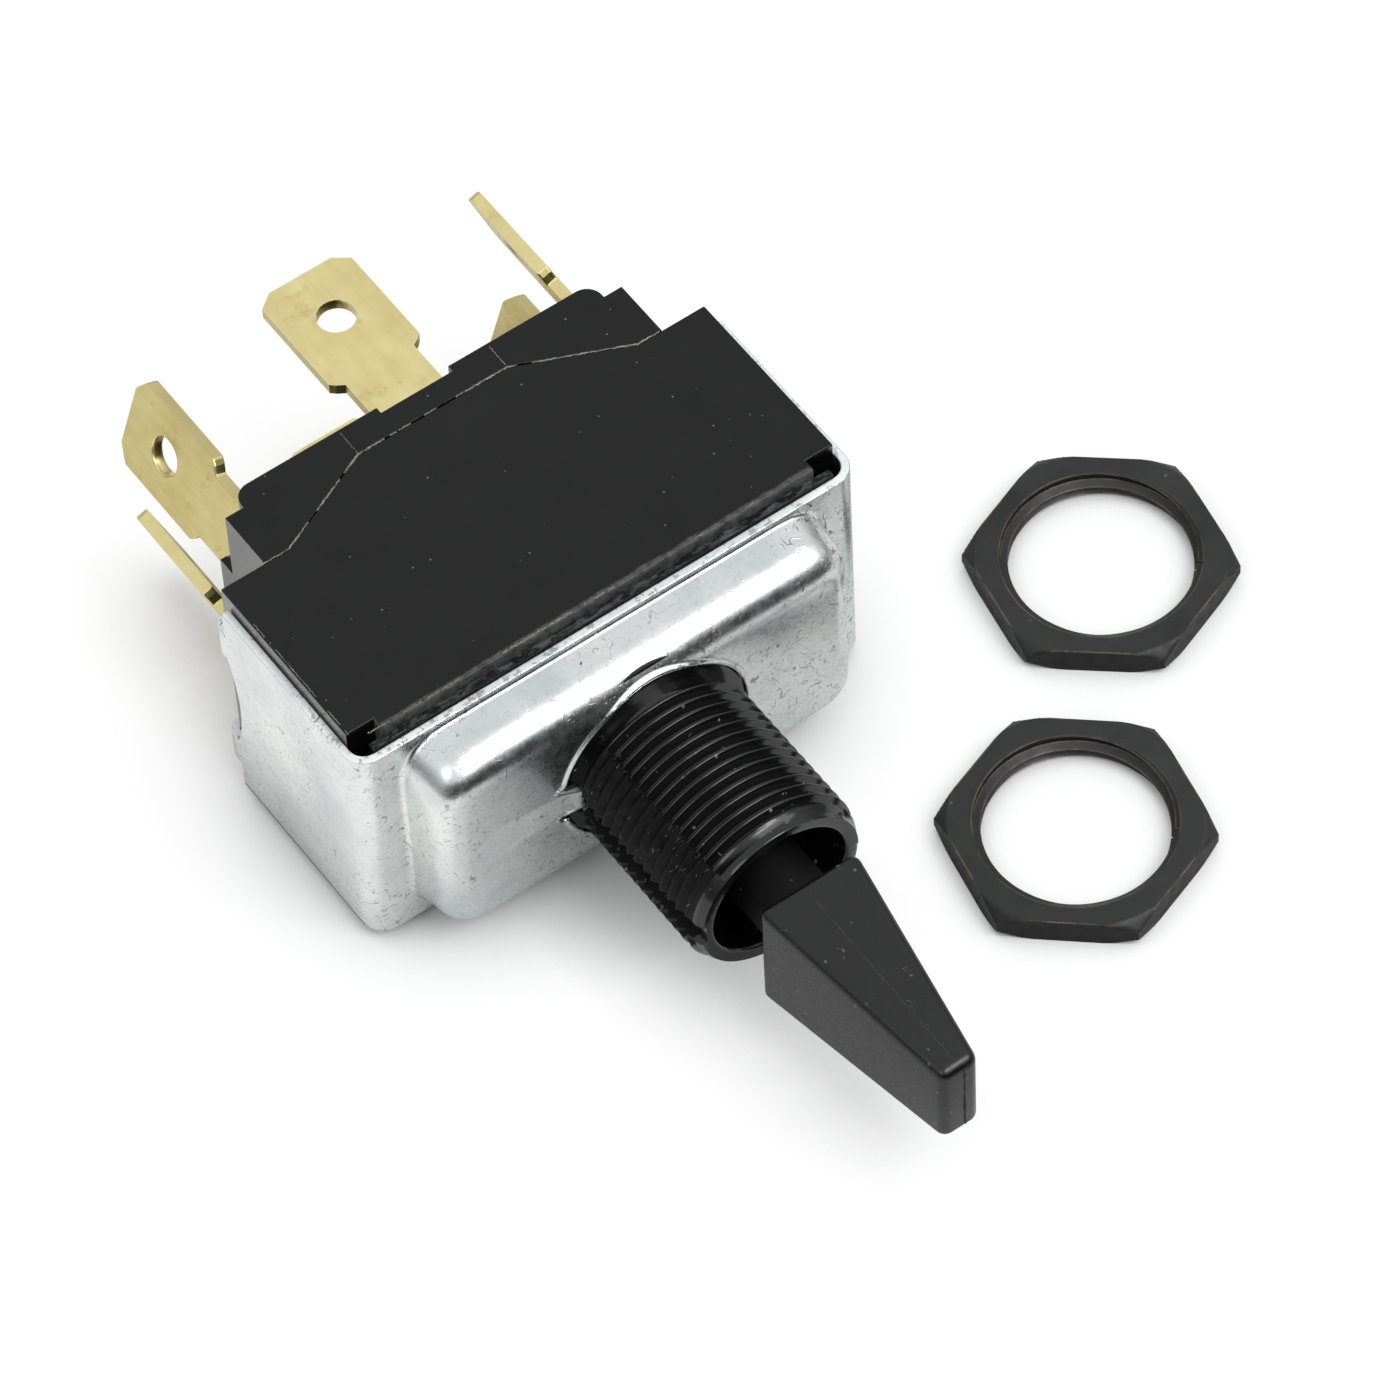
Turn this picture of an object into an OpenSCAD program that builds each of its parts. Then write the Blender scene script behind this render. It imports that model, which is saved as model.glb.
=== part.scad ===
// Heavy-duty panel toggle switch: two poles, centre off, with a threaded
// bushing, a paddle lever, six blade terminals and two hexagonal panel nuts.
//
// Frame: millimetres. The origin is the centre of the bushing's seat, where
// the bushing leaves the raised face of the bracket. The bushing and the
// lever point along -Y, the terminals along +Y, X is the long side of the
// housing, and +Z is up with the switch lying on its wide side.

/* [Housing] */
// Length of the moulded housing along X
housing_w = 33.7; // [32:0.1:36]
// Height of the housing along Z, between its wide faces
housing_h = 18.9; // [18.2:0.1:21]
// Depth of the housing along Y, without the tongues
housing_d = 13.45; // [13.2:0.05:15]
// Thickness of the housing's moulded walls
housing_wall = 1.5; // [1.1:0.1:1.8]
// How far each trapezoid tongue reaches over the terminal board
tongue_reach = 3.2; // [2:0.1:4]
// Width of each tongue at its root
tongue_root_w = 24.4; // [20:0.1:26]
// Width of each tongue at its end
tongue_end_w = 10.4; // [8:0.1:16]
// Length of the relief at the housing's front corners
corner_relief_l = 1.9; // [1:0.1:2.5]
// Depth of the relief at the housing's front corners
corner_relief_d = 0.8; // [0.4:0.1:1.2]

/* [Terminal board] */
// Length of the terminal board along X
board_w = 27.7; // [27:0.1:30]
// How far the board stands out behind the housing
board_reach = 5.3; // [4.5:0.1:7]
// How far the board reaches into the housing
board_inset = 1.8; // [1.2:0.1:2]
// Depth of the step cut behind each corner terminal
board_step_d = 1.3; // [0.6:0.1:2]
// Length of the step cut at each corner of the board
board_step_l = 1.25; // [0.8:0.05:1.6]
// Height of the step, measured from the board's wide face
board_step_h = 5.4; // [3:0.1:6]
// Radius of the board's shoulder beside each step
board_shoulder_r = 1.1; // [0.5:0.1:2]
// Width of the notch over each centre terminal
board_notch_w = 5; // [4.9:0.1:7]
// Depth of the notch over each centre terminal
board_notch_d = 0.45; // [0.2:0.05:1]

/* [Bracket] */
// Thickness of the bracket's steel sheet
sheet_t = 0.55; // [0.4:0.05:0.8]
// Height of the bracket along Z
bracket_h = 16.9; // [15:0.1:18]
// Distance from the seat back to the bracket's front flanges
platform_rise = 3.7; // [3:0.1:5]
// Length of the raised platform along X
platform_w = 29.5; // [26:0.1:30]
// Margin between the platform and the bracket's long edges
platform_margin = 0.35; // [0.3:0.05:1.5]
// Radius of the platform's upright corners
platform_corner_r = 3.4; // [3:0.1:5]
// Radius rolled along the platform's front edge
platform_edge_r = 2.1; // [1.2:0.1:2.4]
// Outer radius of the two folds
fold_r = 1.5; // [1:0.1:2.5]
// Distance of the ears from the middle of each side plate
ear_z = 5.2; // [4.5:0.1:6]
// Width of each bent ear
ear_w = 2.4; // [1.5:0.1:3]
// How far each ear reaches over the back of the housing
ear_reach = 1.5; // [1:0.1:2]
// Depth of the hollow between the two ears
ear_hollow = 0.9; // [0.5:0.1:1.5]
// Width of the tab that keys the bushing
key_tab_w = 1.7; // [1:0.1:2]

/* [Insulator] */
// Thickness of the insulating sheet behind the bracket
insulator_t = 0.5; // [0.3:0.05:0.8]
// Margin of the sheet beyond the bracket's long edges
insulator_margin = 0.25; // [0:0.05:0.5]

/* [Bushing] */
// Outer diameter of the bushing's thread
thread_d = 11.9; // [11.9:0.05:12.7]
// Length of the threaded shank in front of the seat
bushing_l = 12.2; // [11:0.1:14]
// Chamfer at the mouth of the bushing
bushing_chamfer = 0.45; // [0.2:0.05:0.6]
// Depth of the keyway along the shank
keyway_d = 0.8; // [0.4:0.05:0.9]
// Diameter of the bushing's trapped flange
flange_d = 14.4; // [14:0.1:14.6]
// Thickness of the trapped flange
flange_t = 2.4; // [1.8:0.1:2.8]
// Diameter of the bushing's bore around the ball
bore_d = 8.2; // [8:0.05:8.4]
// Diameter of the bore at its mouth
mouth_d = 9.2; // [8.9:0.05:9.4]

/* [Lever] */
// Distance of the lever's pivot in front of the seat
pivot_l = 5; // [4.6:0.1:5.2]
// Swing of the lever to each side of its centre position, in degrees
lever_swing = 13; // [10:0.5:13]
// Distance from the mouth of the bushing to the paddle
paddle_gap = 2.6; // [2.4:0.1:4]
// Length of the paddle
paddle_l = 14.2; // [12:0.1:20]
// Width of the paddle at its root, along X
paddle_root_w = 6.9; // [6:0.1:7.5]
// Width of the paddle at its tip, along X
paddle_tip_w = 2.5; // [2:0.1:4]
// Height of the paddle at its root, along Z
paddle_root_h = 8.3; // [7:0.1:9]
// Height of the paddle at its tip, along Z
paddle_tip_h = 5.2; // [4:0.1:6]
// Radius of the paddle's edges
paddle_r = 0.6; // [0.4:0.05:0.8]
// Diameter of the stem between the ball and the paddle
stem_d = 4.8; // [4.2:0.1:5]
// Width of the tail that drives the carrier, along X
tail_w = 2.6; // [2:0.1:2.8]
// Height of the tail, along Z
tail_h = 4; // [3:0.1:4.2]

/* [Mechanism] */
// Diameter of the steel pivot pin
pin_d = 1.8; // [1.5:0.05:2]
// Height of the plunger carrier, along Z
carrier_h = 13.4; // [12.6:0.1:13.8]
// Width of the plunger carrier, along X
carrier_w = 4.4; // [4.2:0.1:4.8]
// Distance from the housing's front wall to the carrier
carrier_gap = 1.4; // [1.2:0.1:1.6]
// Thickness of the carrier behind each plunger
carrier_floor = 1; // [0.7:0.1:1.2]
// Diameter of the plungers
plunger_d = 3; // [2.8:0.05:3.2]
// Spring-backed travel of each plunger
plunger_travel = 0.45; // [0.3:0.05:0.6]
// Diameter of the spring wire
spring_wire = 0.3; // [0.2:0.02:0.34]
// Number of turns in each plunger spring
spring_turns = 6; // [4:1:8]
// Width of each rocking contact arm, along Z
rocker_w = 3.2; // [2.6:0.1:3.4]
// Thickness of the rocking contact arms
rocker_t = 0.8; // [0.6:0.05:1]
// Upward slope of the rocking contact arms, in degrees
rocker_slope = 9; // [7:0.5:10]
// Turn of the contact arm for each degree of the lever
rocker_ratio = 0.5; // [0.4:0.02:0.5]
// Diameter of the silver contact buttons
button_d = 2.4; // [1.8:0.1:2.6]
// Thickness of the buttons on the rocking arms
button_t = 0.55; // [0.4:0.05:0.7]

/* [Terminals] */
// Width of a terminal blade
blade_w = 6.35; // [5.5:0.05:6.35]
// Thickness of the terminal stock
blade_t = 0.8; // [0.7:0.05:0.9]
// Length of a blade from its shoulder to its tip
blade_l = 8; // [7.5:0.1:9]
// Width of a terminal's neck below the shoulder
neck_w = 4.8; // [4:0.1:4.9]
// Diameter of the hole in a blade
blade_hole_d = 2.4; // [1.6:0.1:2.8]
// Distance of the corner terminals from the middle, along X
corner_x = 12.45; // [12.2:0.05:12.5]
// Distance of the corner terminals from the nearer wide face, along Z
corner_inset = 4.15; // [4.1:0.05:4.5]
// Tilt of the corner terminals from the upright, in degrees
corner_tilt = 20; // [15:1:22]
// Distance of the centre terminals from the nearer wide face, along Z
centre_inset = 1.95; // [1.85:0.05:2.2]
// Distance from the seat to the tips of the upper corner terminals
corner_tip = 34.5; // [34:0.1:37]
// Distance from the seat to the tip of the upper centre terminal
centre_tip = 35.3; // [35:0.1:38]
// How much shorter the lower row of terminals stands
lower_row_drop = 0.5; // [0:0.1:1]

/* [Panel nuts] */
// Width of a panel nut across its flats
nut_flats = 14.3; // [14:0.1:16]
// Thickness of a panel nut
nut_t = 1.85; // [1.5:0.05:3]
// Diameter of a nut's hole, over the crests of its thread
nut_hole_d = 11.1; // [10.8:0.05:11.4]
// Chamfer on a nut's corners
nut_chamfer = 0.5; // [0.2:0.05:0.8]
// Distance of the first nut from the bushing's axis, along X
nut_1_x = 32; // [28:0.5:50]
// Distance of the second nut from the bushing's axis, along X
nut_2_x = 19.3; // [18:0.1:24]
// Distance of the second nut in front of the seat
nut_2_l = 14.3; // [13:0.1:16]

/* [Hidden] */

$fn = 48;
hull_fn = 32;
eps = 0.01;
run_clear = 0.05;     // radial clearance of a pin or plunger in its bore
seat_clear = 0.3;     // gap between parts that move past each other

// Stations along Y, from the seat backwards
flange_y = platform_rise;
insulator_y = flange_y + sheet_t;
front_y = insulator_y + insulator_t;
back_y = front_y + housing_d;
board_front_y = back_y - board_inset;
board_back_y = back_y + board_reach;
ear_y = back_y + sheet_t;

// Housing cavity
cavity_w = housing_w - 2 * housing_wall;
cavity_h = housing_h - 2 * housing_wall;
cavity_y = front_y + housing_wall;

// Bracket
bracket_w = housing_w + 2 * sheet_t + 2 * run_clear;
platform_h = bracket_h - 2 * platform_margin;
plate_hole_d = thread_d + 0.8;
collar_d = plate_hole_d - 2 * run_clear;
ear_bend_r = 0.9;
side_back_y = back_y - 0.8;
platform_draft = 0.3;
flange_flats = platform_h - 2 * (platform_edge_r + platform_draft + run_clear);

// Lever, all stations along Y and negative in front of the seat
pivot_y = -pivot_l;
ball_d = bore_d - 0.3;
mouth_y = -bushing_l;
cone_y = mouth_y + 2.7;
paddle_y = mouth_y - paddle_gap;
window_w = 2 * (tan(lever_swing) * (cavity_y - pivot_y) + tail_w);
slot_reach = ball_d / 2 + 0.75;
key_w = pin_d + 2 * run_clear;

// Plungers and rocking arms
saddle_r = 0.5;
end_foot_y = board_front_y - blade_t;
saddle_y = end_foot_y - 0.7;
rocker_top_y = saddle_y - saddle_r - run_clear - rocker_t;
plunger_tip_y = rocker_top_y - seat_clear - 0.05;
carrier_y = cavity_y + carrier_gap;
carrier_back_y = plunger_tip_y - 1.1;
bore_floor_y = carrier_y + carrier_floor;
plunger_y = bore_floor_y + plunger_travel + 0.05;
foot_l = 4.4;
button_reach = 3.2;
corner_z = housing_h / 2 - corner_inset;
centre_z = housing_h / 2 - centre_inset;
button_x = corner_x - button_reach * cos(corner_tilt);
button_z = corner_z - button_reach * sin(corner_tilt);
plunger_z = button_z;
rocker_swing = lever_swing * rocker_ratio;
arm_l = button_x / cos(rocker_slope);
button_low_y = rocker_top_y + rocker_t - button_x * tan(rocker_slope) + button_t
    + button_x * sin(rocker_swing) + button_d / 2 * sin(rocker_swing + rocker_slope);
fixed_top_y = min(button_low_y + 0.1, end_foot_y - 0.3);
spring_r = plunger_d / 2 - 0.5 - spring_wire / 2 - 0.05;

// Colours
zinc = [0.74, 0.76, 0.77];
phenolic = [0.16, 0.16, 0.16];
nylon = [0.1, 0.1, 0.1];
steel = [0.6, 0.6, 0.62];
brass = [0.78, 0.7, 0.42];
copper = [0.75, 0.45, 0.3];
silver = [0.88, 0.88, 0.86];
fibre = [0.3, 0.3, 0.3];
oxide = [0.12, 0.12, 0.13];

// ---- Helpers ----

// Turns an extrusion so that it runs backwards along +Y from y0
module from_y(y0) {
    translate([0, y0, 0]) rotate([-90, 0, 0]) children();
}

// A box given by its middle in X and Z, its sizes, and two stations along Y
module slab(w, h, y0, y1) {
    translate([-w / 2, y0, -h / 2]) cube([w, y1 - y0, h]);
}

// Plan outline with two rounded front corners
module rounded_front(w, y0, y1, r) {
    translate([-w / 2 + r, y0]) square([w - 2 * r, y1 - y0]);
    translate([-w / 2, y0 + r]) square([w, y1 - y0 - r]);
    for (side = [-1, 1])
        translate([side * (w / 2 - r), y0 + r]) circle(r);
}

// Repeats its children above and below the middle plane
module both_rows() {
    children();
    mirror([0, 0, 1]) children();
}

// Repeats its children on the left and right
module both_ends() {
    children();
    mirror([1, 0, 0]) children();
}

// ---- Bracket: one folded and drawn sheet ----

// A drawn block whose front edge is rolled and whose back is a little wider
module drawn_block(w, h, y0, y1, corner, edge) {
    hull()
        for (sx = [-1, 1], sz = [-1, 1])
            translate([sx * (w / 2 - corner), y0, sz * (h / 2 - corner)])
                rotate([-90, 0, 0])
                    rotate_extrude($fn = hull_fn) {
                        square([corner - edge - platform_draft, y1 - y0]);
                        translate([corner - edge - platform_draft, edge])
                            intersection() {
                                circle(edge);
                                translate([0, -edge]) square(edge);
                            }
                        polygon([[0, edge], [corner - platform_draft, edge],
                            [corner, y1 - y0], [0, y1 - y0]]);
                    }
}

// One ear, bent inwards over the back of the housing
module ear() {
    translate([0, 0, ear_z - ear_w / 2])
        linear_extrude(ear_w)
            difference() {
                translate([-bracket_w / 2, 0]) {
                    translate([0, side_back_y - 1])
                        square([sheet_t, ear_y - ear_bend_r - side_back_y + 1]);
                    translate([ear_bend_r, ear_y - ear_bend_r]) circle(ear_bend_r);
                    translate([ear_bend_r, back_y])
                        square([ear_reach + sheet_t - ear_bend_r, sheet_t]);
                }
                translate([-bracket_w / 2 + sheet_t, side_back_y - 2])
                    square([4, back_y - side_back_y + 2]);
            }
}

module bracket() {
    hollow_r = (pow(ear_z - ear_w / 2, 2) + pow(ear_hollow, 2)) / (2 * ear_hollow);
    color(zinc)
    difference() {
        union() {
            translate([0, 0, -bracket_h / 2])
                linear_extrude(bracket_h)
                    difference() {
                        rounded_front(bracket_w, flange_y, side_back_y, fold_r);
                        rounded_front(bracket_w - 2 * sheet_t, insulator_y,
                            side_back_y + 1, fold_r - sheet_t);
                    }
            drawn_block(platform_w, platform_h, 0, insulator_y,
                platform_corner_r, platform_edge_r);
            both_ends() both_rows() ear();
        }
        drawn_block(platform_w - 2 * sheet_t, platform_h - 2 * sheet_t, sheet_t,
            insulator_y + 1, platform_corner_r - sheet_t, platform_edge_r - sheet_t);
        // hole for the bushing, with its key tab left standing
        difference() {
            from_y(-1) cylinder(d = plate_hole_d, h = sheet_t + 2);
            translate([-thread_d / 2 - 1, 0, -key_tab_w / 2])
                cube([1 + keyway_d - run_clear, sheet_t, key_tab_w]);
        }
        for (sz = [-1, 1])
            translate([-plate_hole_d / 2, -1, sz * (key_tab_w / 2 + 0.35)])
                rotate([-90, 0, 0]) cylinder(r = 0.35, h = 3, $fn = 24);
        // hollow between the ears
        translate([-bracket_w / 2 - 1, side_back_y - ear_hollow + hollow_r, 0])
            rotate([0, 90, 0]) cylinder(r = hollow_r, h = bracket_w + 2, $fn = 96);
    }
}

// ---- Housing: moulded cup with a tongue on each wide side ----

module tongue_plan(grow) {
    polygon([
        [-tongue_root_w / 2 - grow, back_y - eps], [tongue_root_w / 2 + grow, back_y - eps],
        [tongue_end_w / 2 + grow, back_y + tongue_reach + grow],
        [-tongue_end_w / 2 - grow, back_y + tongue_reach + grow]
    ]);
}

module housing() {
    tail_window_h = tail_h + 2 * seat_clear + 0.4;
    color(phenolic)
    difference() {
        union() {
            slab(housing_w, housing_h, front_y, back_y);
            both_rows()
                translate([0, 0, housing_h / 2 - housing_wall])
                    linear_extrude(housing_wall) tongue_plan(0);
        }
        slab(cavity_w, cavity_h, cavity_y, back_y + 1);
        both_rows()
            translate([0, 0, cavity_h / 2 - 1])
                linear_extrude(1) tongue_plan(0);
        slab(window_w, tail_window_h, front_y - 1, cavity_y + 1);
        both_ends()
            translate([housing_w / 2 - corner_relief_l, front_y - 1, -housing_h / 2 - 1])
                cube([corner_relief_l + 1, corner_relief_d + 1, housing_h + 2]);
    }
}

// ---- Insulator: flat sheet between the bracket and the housing ----

module insulator() {
    color(fibre)
    difference() {
        slab(bracket_w - 2 * fold_r, bracket_h + 2 * insulator_margin, insulator_y, front_y);
        slab(window_w, tail_h + 2 * seat_clear + 0.4, insulator_y - 1, front_y + 1);
    }
}

// ---- Terminal board: closes the housing and carries the terminals ----

// One quarter of the board behind the housing, with its step and shoulder
module board_quarter_cut() {
    step_x = board_w / 2 - board_step_l;
    translate([step_x, board_back_y - board_step_d, housing_h / 2 - board_step_h])
        cube([board_step_l + 1, board_step_d + 1, board_step_h + 1]);
    translate([step_x - board_shoulder_r, board_back_y - board_shoulder_r,
            housing_h / 2 - board_step_h])
        difference() {
            cube([board_shoulder_r + eps, board_shoulder_r + 1, board_step_h + 1]);
            translate([0, 0, -1]) cylinder(r = board_shoulder_r, h = board_step_h + 3);
        }
}

// Slots for the necks of the terminals
module terminal_slots() {
    slot_w = neck_w + 2 * run_clear;
    slot_t = blade_t + 2 * run_clear;
    both_ends() both_rows()
        at_corner() slab(slot_t, slot_w, board_front_y - 1, board_back_y + 1);
    both_rows()
        translate([0, 0, centre_z]) slab(slot_w, slot_t, board_front_y - 1, board_back_y + 1);
}

module terminal_board() {
    color(phenolic)
    difference() {
        union() {
            slab(board_w, housing_h, back_y, board_back_y);
            slab(cavity_w - 2 * run_clear, cavity_h - 2 * run_clear,
                board_front_y, back_y + eps);
        }
        both_rows()
            translate([0, 0, cavity_h / 2 - run_clear])
                linear_extrude(housing_wall + 1) tongue_plan(run_clear);
        both_ends() both_rows() board_quarter_cut();
        both_rows()
            translate([-board_notch_w / 2, board_back_y - board_notch_d, centre_z - blade_t / 2])
                cube([board_notch_w, board_notch_d + 1, housing_h]);
        terminal_slots();
    }
}

// ---- Bushing ----

module bushing() {
    color(nylon)
    difference() {
        union() {
            from_y(mouth_y) cylinder(d1 = thread_d - 2 * bushing_chamfer, d2 = thread_d,
                h = bushing_chamfer);
            from_y(mouth_y + bushing_chamfer) cylinder(d = thread_d, h = bushing_l - bushing_chamfer);
            from_y(0) cylinder(d = collar_d, h = sheet_t);
            intersection() {
                from_y(sheet_t) cylinder(d = flange_d, h = flange_t);
                slab(flange_d, flange_flats, sheet_t, sheet_t + flange_t);
            }
        }
        // keyway along the shank and through the collar
        translate([-thread_d / 2 - 1, mouth_y - 1, -key_tab_w / 2 - run_clear])
            cube([1 + keyway_d, bushing_l + 1 + sheet_t, key_tab_w + 2 * run_clear]);
        // bore, flared at the mouth
        from_y(cone_y) cylinder(d = bore_d, h = -cone_y + sheet_t + flange_t + 1);
        from_y(mouth_y) cylinder(d1 = mouth_d, d2 = bore_d, h = cone_y - mouth_y);
        // slots that the pivot pin drops into from the back
        slab(key_w, 2 * slot_reach, pivot_y, sheet_t + flange_t + 1);
        translate([0, pivot_y, -slot_reach]) cylinder(d = key_w, h = 2 * slot_reach);
    }
}

// ---- Lever: paddle, stem, ball and tail in one moulding ----

module paddle() {
    tip_y = paddle_y - paddle_l;
    hull()
        for (sx = [-1, 1], sz = [-1, 1]) {
            translate([sx * (paddle_root_w / 2 - paddle_r), paddle_y - paddle_r,
                    sz * (paddle_root_h / 2 - paddle_r)])
                sphere(paddle_r, $fn = 20);
            translate([sx * (paddle_tip_w / 2 - paddle_r), tip_y + paddle_r,
                    sz * (paddle_tip_h / 2 - paddle_r)])
                sphere(paddle_r, $fn = 20);
        }
}

module lever() {
    color(nylon)
    difference() {
        union() {
            paddle();
            from_y(paddle_y - 1) cylinder(d = stem_d, h = pivot_y - paddle_y + 1);
            translate([0, pivot_y, 0]) sphere(d = ball_d);
            slab(tail_w, tail_h, pivot_y, bore_floor_y);
        }
        translate([0, pivot_y, -ball_d]) cylinder(d = pin_d + 2 * run_clear, h = 2 * ball_d);
    }
}

// ---- Pivot ----

module pivot_pin() {
    color(steel)
    translate([0, pivot_y, -slot_reach + run_clear])
        cylinder(d = pin_d, h = 2 * (slot_reach - run_clear));
}

// Washer behind the bushing, with two prongs that hold the pin in its slots
module pin_retainer() {
    washer_y = sheet_t + flange_t;
    washer_bore_r = bore_d / 2 + 0.25;
    color(steel) {
        difference() {
            from_y(washer_y) cylinder(d = flange_d - 1.2, h = insulator_y - washer_y);
            from_y(washer_y - 1) cylinder(r = washer_bore_r, h = 4);
        }
        both_rows()
            translate([-pin_d / 2, pivot_y + pin_d / 2, bore_d / 2 + run_clear])
                cube([pin_d, insulator_y - pivot_y - pin_d / 2, slot_reach - bore_d / 2 - 0.1]);
    }
}

// ---- Plungers, their carrier and springs ----

module plunger_carrier() {
    color([0.86, 0.85, 0.8])
    difference() {
        slab(carrier_w, carrier_h, carrier_y, carrier_back_y);
        slab(tail_w, tail_h, carrier_y - 1, bore_floor_y);
        both_rows()
            translate([0, 0, plunger_z])
                from_y(bore_floor_y)
                    cylinder(d = plunger_d + 2 * run_clear, h = carrier_back_y - bore_floor_y + 1);
    }
}

module plunger() {
    spring_bore_r = plunger_d / 2 - 0.5;
    nose_y = plunger_tip_y - plunger_d / 2;
    color([0.9, 0.88, 0.82])
    translate([0, 0, plunger_z])
        difference() {
            union() {
                from_y(plunger_y) cylinder(d = plunger_d, h = nose_y - plunger_y);
                translate([0, nose_y, 0]) sphere(d = plunger_d);
            }
            from_y(plunger_y - plunger_d)
                cylinder(r = spring_bore_r, h = plunger_d + nose_y - 0.5 - plunger_y);
        }
}

// Round wire swept along a helix, as one closed skin
module coil(radius, wire_r, length, turns) {
    sides = 8;
    steps = 14 * turns;
    pitch = length / turns;
    rise = atan(pitch / (2 * PI * radius));
    points = [
        for (i = [0:steps]) let (a = 360 * i / 14, z = length * i / steps)
            for (j = [0:sides - 1]) let (
                b = 360 * j / sides,
                u = radius + wire_r * cos(b),
                v = wire_r * sin(b))
                [u * cos(a) - v * sin(rise) * -sin(a),
                 u * sin(a) - v * sin(rise) * cos(a),
                 z + v * cos(rise)]
    ];
    faces = concat(
        [[for (j = [0:sides - 1]) j]],
        [for (i = [0:steps - 1], j = [0:sides - 1])
            let (k = (j + 1) % sides, a = i * sides, b = a + sides)
            [a + j, b + j, b + k, a + k]],
        [[for (j = [sides - 1:-1:0]) steps * sides + j]]
    );
    polyhedron(points, faces, convexity = 8);
}

module plunger_spring() {
    seat_y = plunger_tip_y - plunger_d / 2 - 0.5;
    length = seat_y - bore_floor_y - spring_wire - 0.1;
    color(steel)
    translate([0, bore_floor_y + spring_wire / 2 + 0.05, plunger_z])
        rotate([-90, 0, 0]) coil(spring_r, spring_wire / 2, length, spring_turns);
}

// ---- Rocking contact arms ----

module rocker_plan() {
    reach = button_x + button_d / 2 + 0.1;
    drop = reach * tan(rocker_slope);
    difference() {
        union() {
            polygon([
                [0, rocker_top_y], [reach, rocker_top_y - drop],
                [reach, rocker_top_y - drop + rocker_t], [0, rocker_top_y + rocker_t],
                [-reach, rocker_top_y - drop + rocker_t], [-reach, rocker_top_y - drop]
            ]);
            for (side = [-1, 1])
                translate([side * (saddle_r + 0.4) - 0.35, saddle_y - saddle_r - rocker_t / 2])
                    square([0.7, saddle_r + rocker_t / 2 - 0.1]);
        }
        translate([0, saddle_y]) circle(saddle_r + run_clear);
    }
}

module rocker() {
    color(copper)
    translate([0, 0, plunger_z - rocker_w / 2])
        linear_extrude(rocker_w) rocker_plan();
}

module rocker_contacts() {
    color(silver)
    both_ends()
        translate([0, rocker_top_y + rocker_t, plunger_z])
            rotate([0, 0, -rocker_slope])
                translate([arm_l, 0, 0])
                    rotate([-90, 0, 0]) cylinder(d = button_d, h = button_t);
}

// ---- Terminals ----

// Places its children at the upper right corner, where their X is the normal
// of the blade and their Z runs along its width
module at_corner() {
    translate([corner_x, 0, corner_z]) rotate([0, -corner_tilt, 0]) children();
}

// Outline of a terminal seen on its broad side: foot end at y0, tip at y1
module blade_outline(y0, y1) {
    tip_cut_w = 1;
    tip_cut_l = 0.75;
    polygon([
        [-neck_w / 2, y0], [neck_w / 2, y0],
        [neck_w / 2, y1 - blade_l - 0.3], [blade_w / 2 - 0.3, y1 - blade_l],
        [blade_w / 2, y1 - blade_l + 0.3], [blade_w / 2, y1 - tip_cut_l],
        [blade_w / 2 - tip_cut_w, y1], [-blade_w / 2 + tip_cut_w, y1],
        [-blade_w / 2, y1 - tip_cut_l], [-blade_w / 2, y1 - blade_l + 0.3],
        [-blade_w / 2 + 0.3, y1 - blade_l], [-neck_w / 2, y1 - blade_l - 0.3]
    ]);
}

// A terminal blade whose width lies along X and whose normal is Z
module blade(y0, y1) {
    translate([0, 0, -blade_t / 2])
        difference() {
            linear_extrude(blade_t) blade_outline(y0, y1);
            translate([0, y1 - blade_l / 2 + 0.2, -1])
                cylinder(d = blade_hole_d, h = blade_t + 2);
        }
}

// Corner terminal: its foot turns inwards under the fixed contact
module corner_terminal(tip_y) {
    color(brass)
    at_corner() {
        rotate([0, 90, 0]) blade(end_foot_y, tip_y);
        translate([-foot_l, end_foot_y, -neck_w / 2])
            cube([foot_l + blade_t / 2, blade_t, neck_w]);
    }
}

// Centre terminal: its foot carries the round ridge that the arm rocks on
module centre_terminal(tip_y) {
    foot_low_z = plunger_z - rocker_w / 2;
    color(brass) {
        translate([0, 0, centre_z]) blade(end_foot_y, tip_y);
        translate([-neck_w / 2, end_foot_y, foot_low_z])
            cube([neck_w, blade_t, centre_z + blade_t / 2 - foot_low_z]);
        translate([0, saddle_y, foot_low_z]) cylinder(r = saddle_r, h = rocker_w);
        translate([-saddle_r / 2, saddle_y, foot_low_z])
            cube([saddle_r, end_foot_y - saddle_y + eps, rocker_w]);
    }
}

module fixed_contact() {
    at_corner()
        translate([-button_reach, 0, 0])
            from_y(fixed_top_y) cylinder(d = button_d, h = end_foot_y - fixed_top_y);
}

module fixed_contacts() {
    color(silver)
    both_ends() both_rows() fixed_contact();
}

// ---- Panel nuts, lying flat beside the switch ----

module panel_nut() {
    across = nut_flats / cos(30);
    color(oxide)
    difference() {
        intersection() {
            cylinder(d = across, h = nut_t, $fn = 6);
            union() {
                translate([0, 0, nut_chamfer]) cylinder(d = across + 1, h = nut_t - 2 * nut_chamfer);
                cylinder(d1 = across - 1.6, d2 = across + eps, h = nut_chamfer + eps);
                translate([0, 0, nut_t - nut_chamfer - eps])
                    cylinder(d1 = across + eps, d2 = across - 1.6, h = nut_chamfer + eps);
            }
        }
        translate([0, 0, -1]) cylinder(d = nut_hole_d, h = nut_t + 2);
    }
}

// ---- The nodes ----

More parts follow.
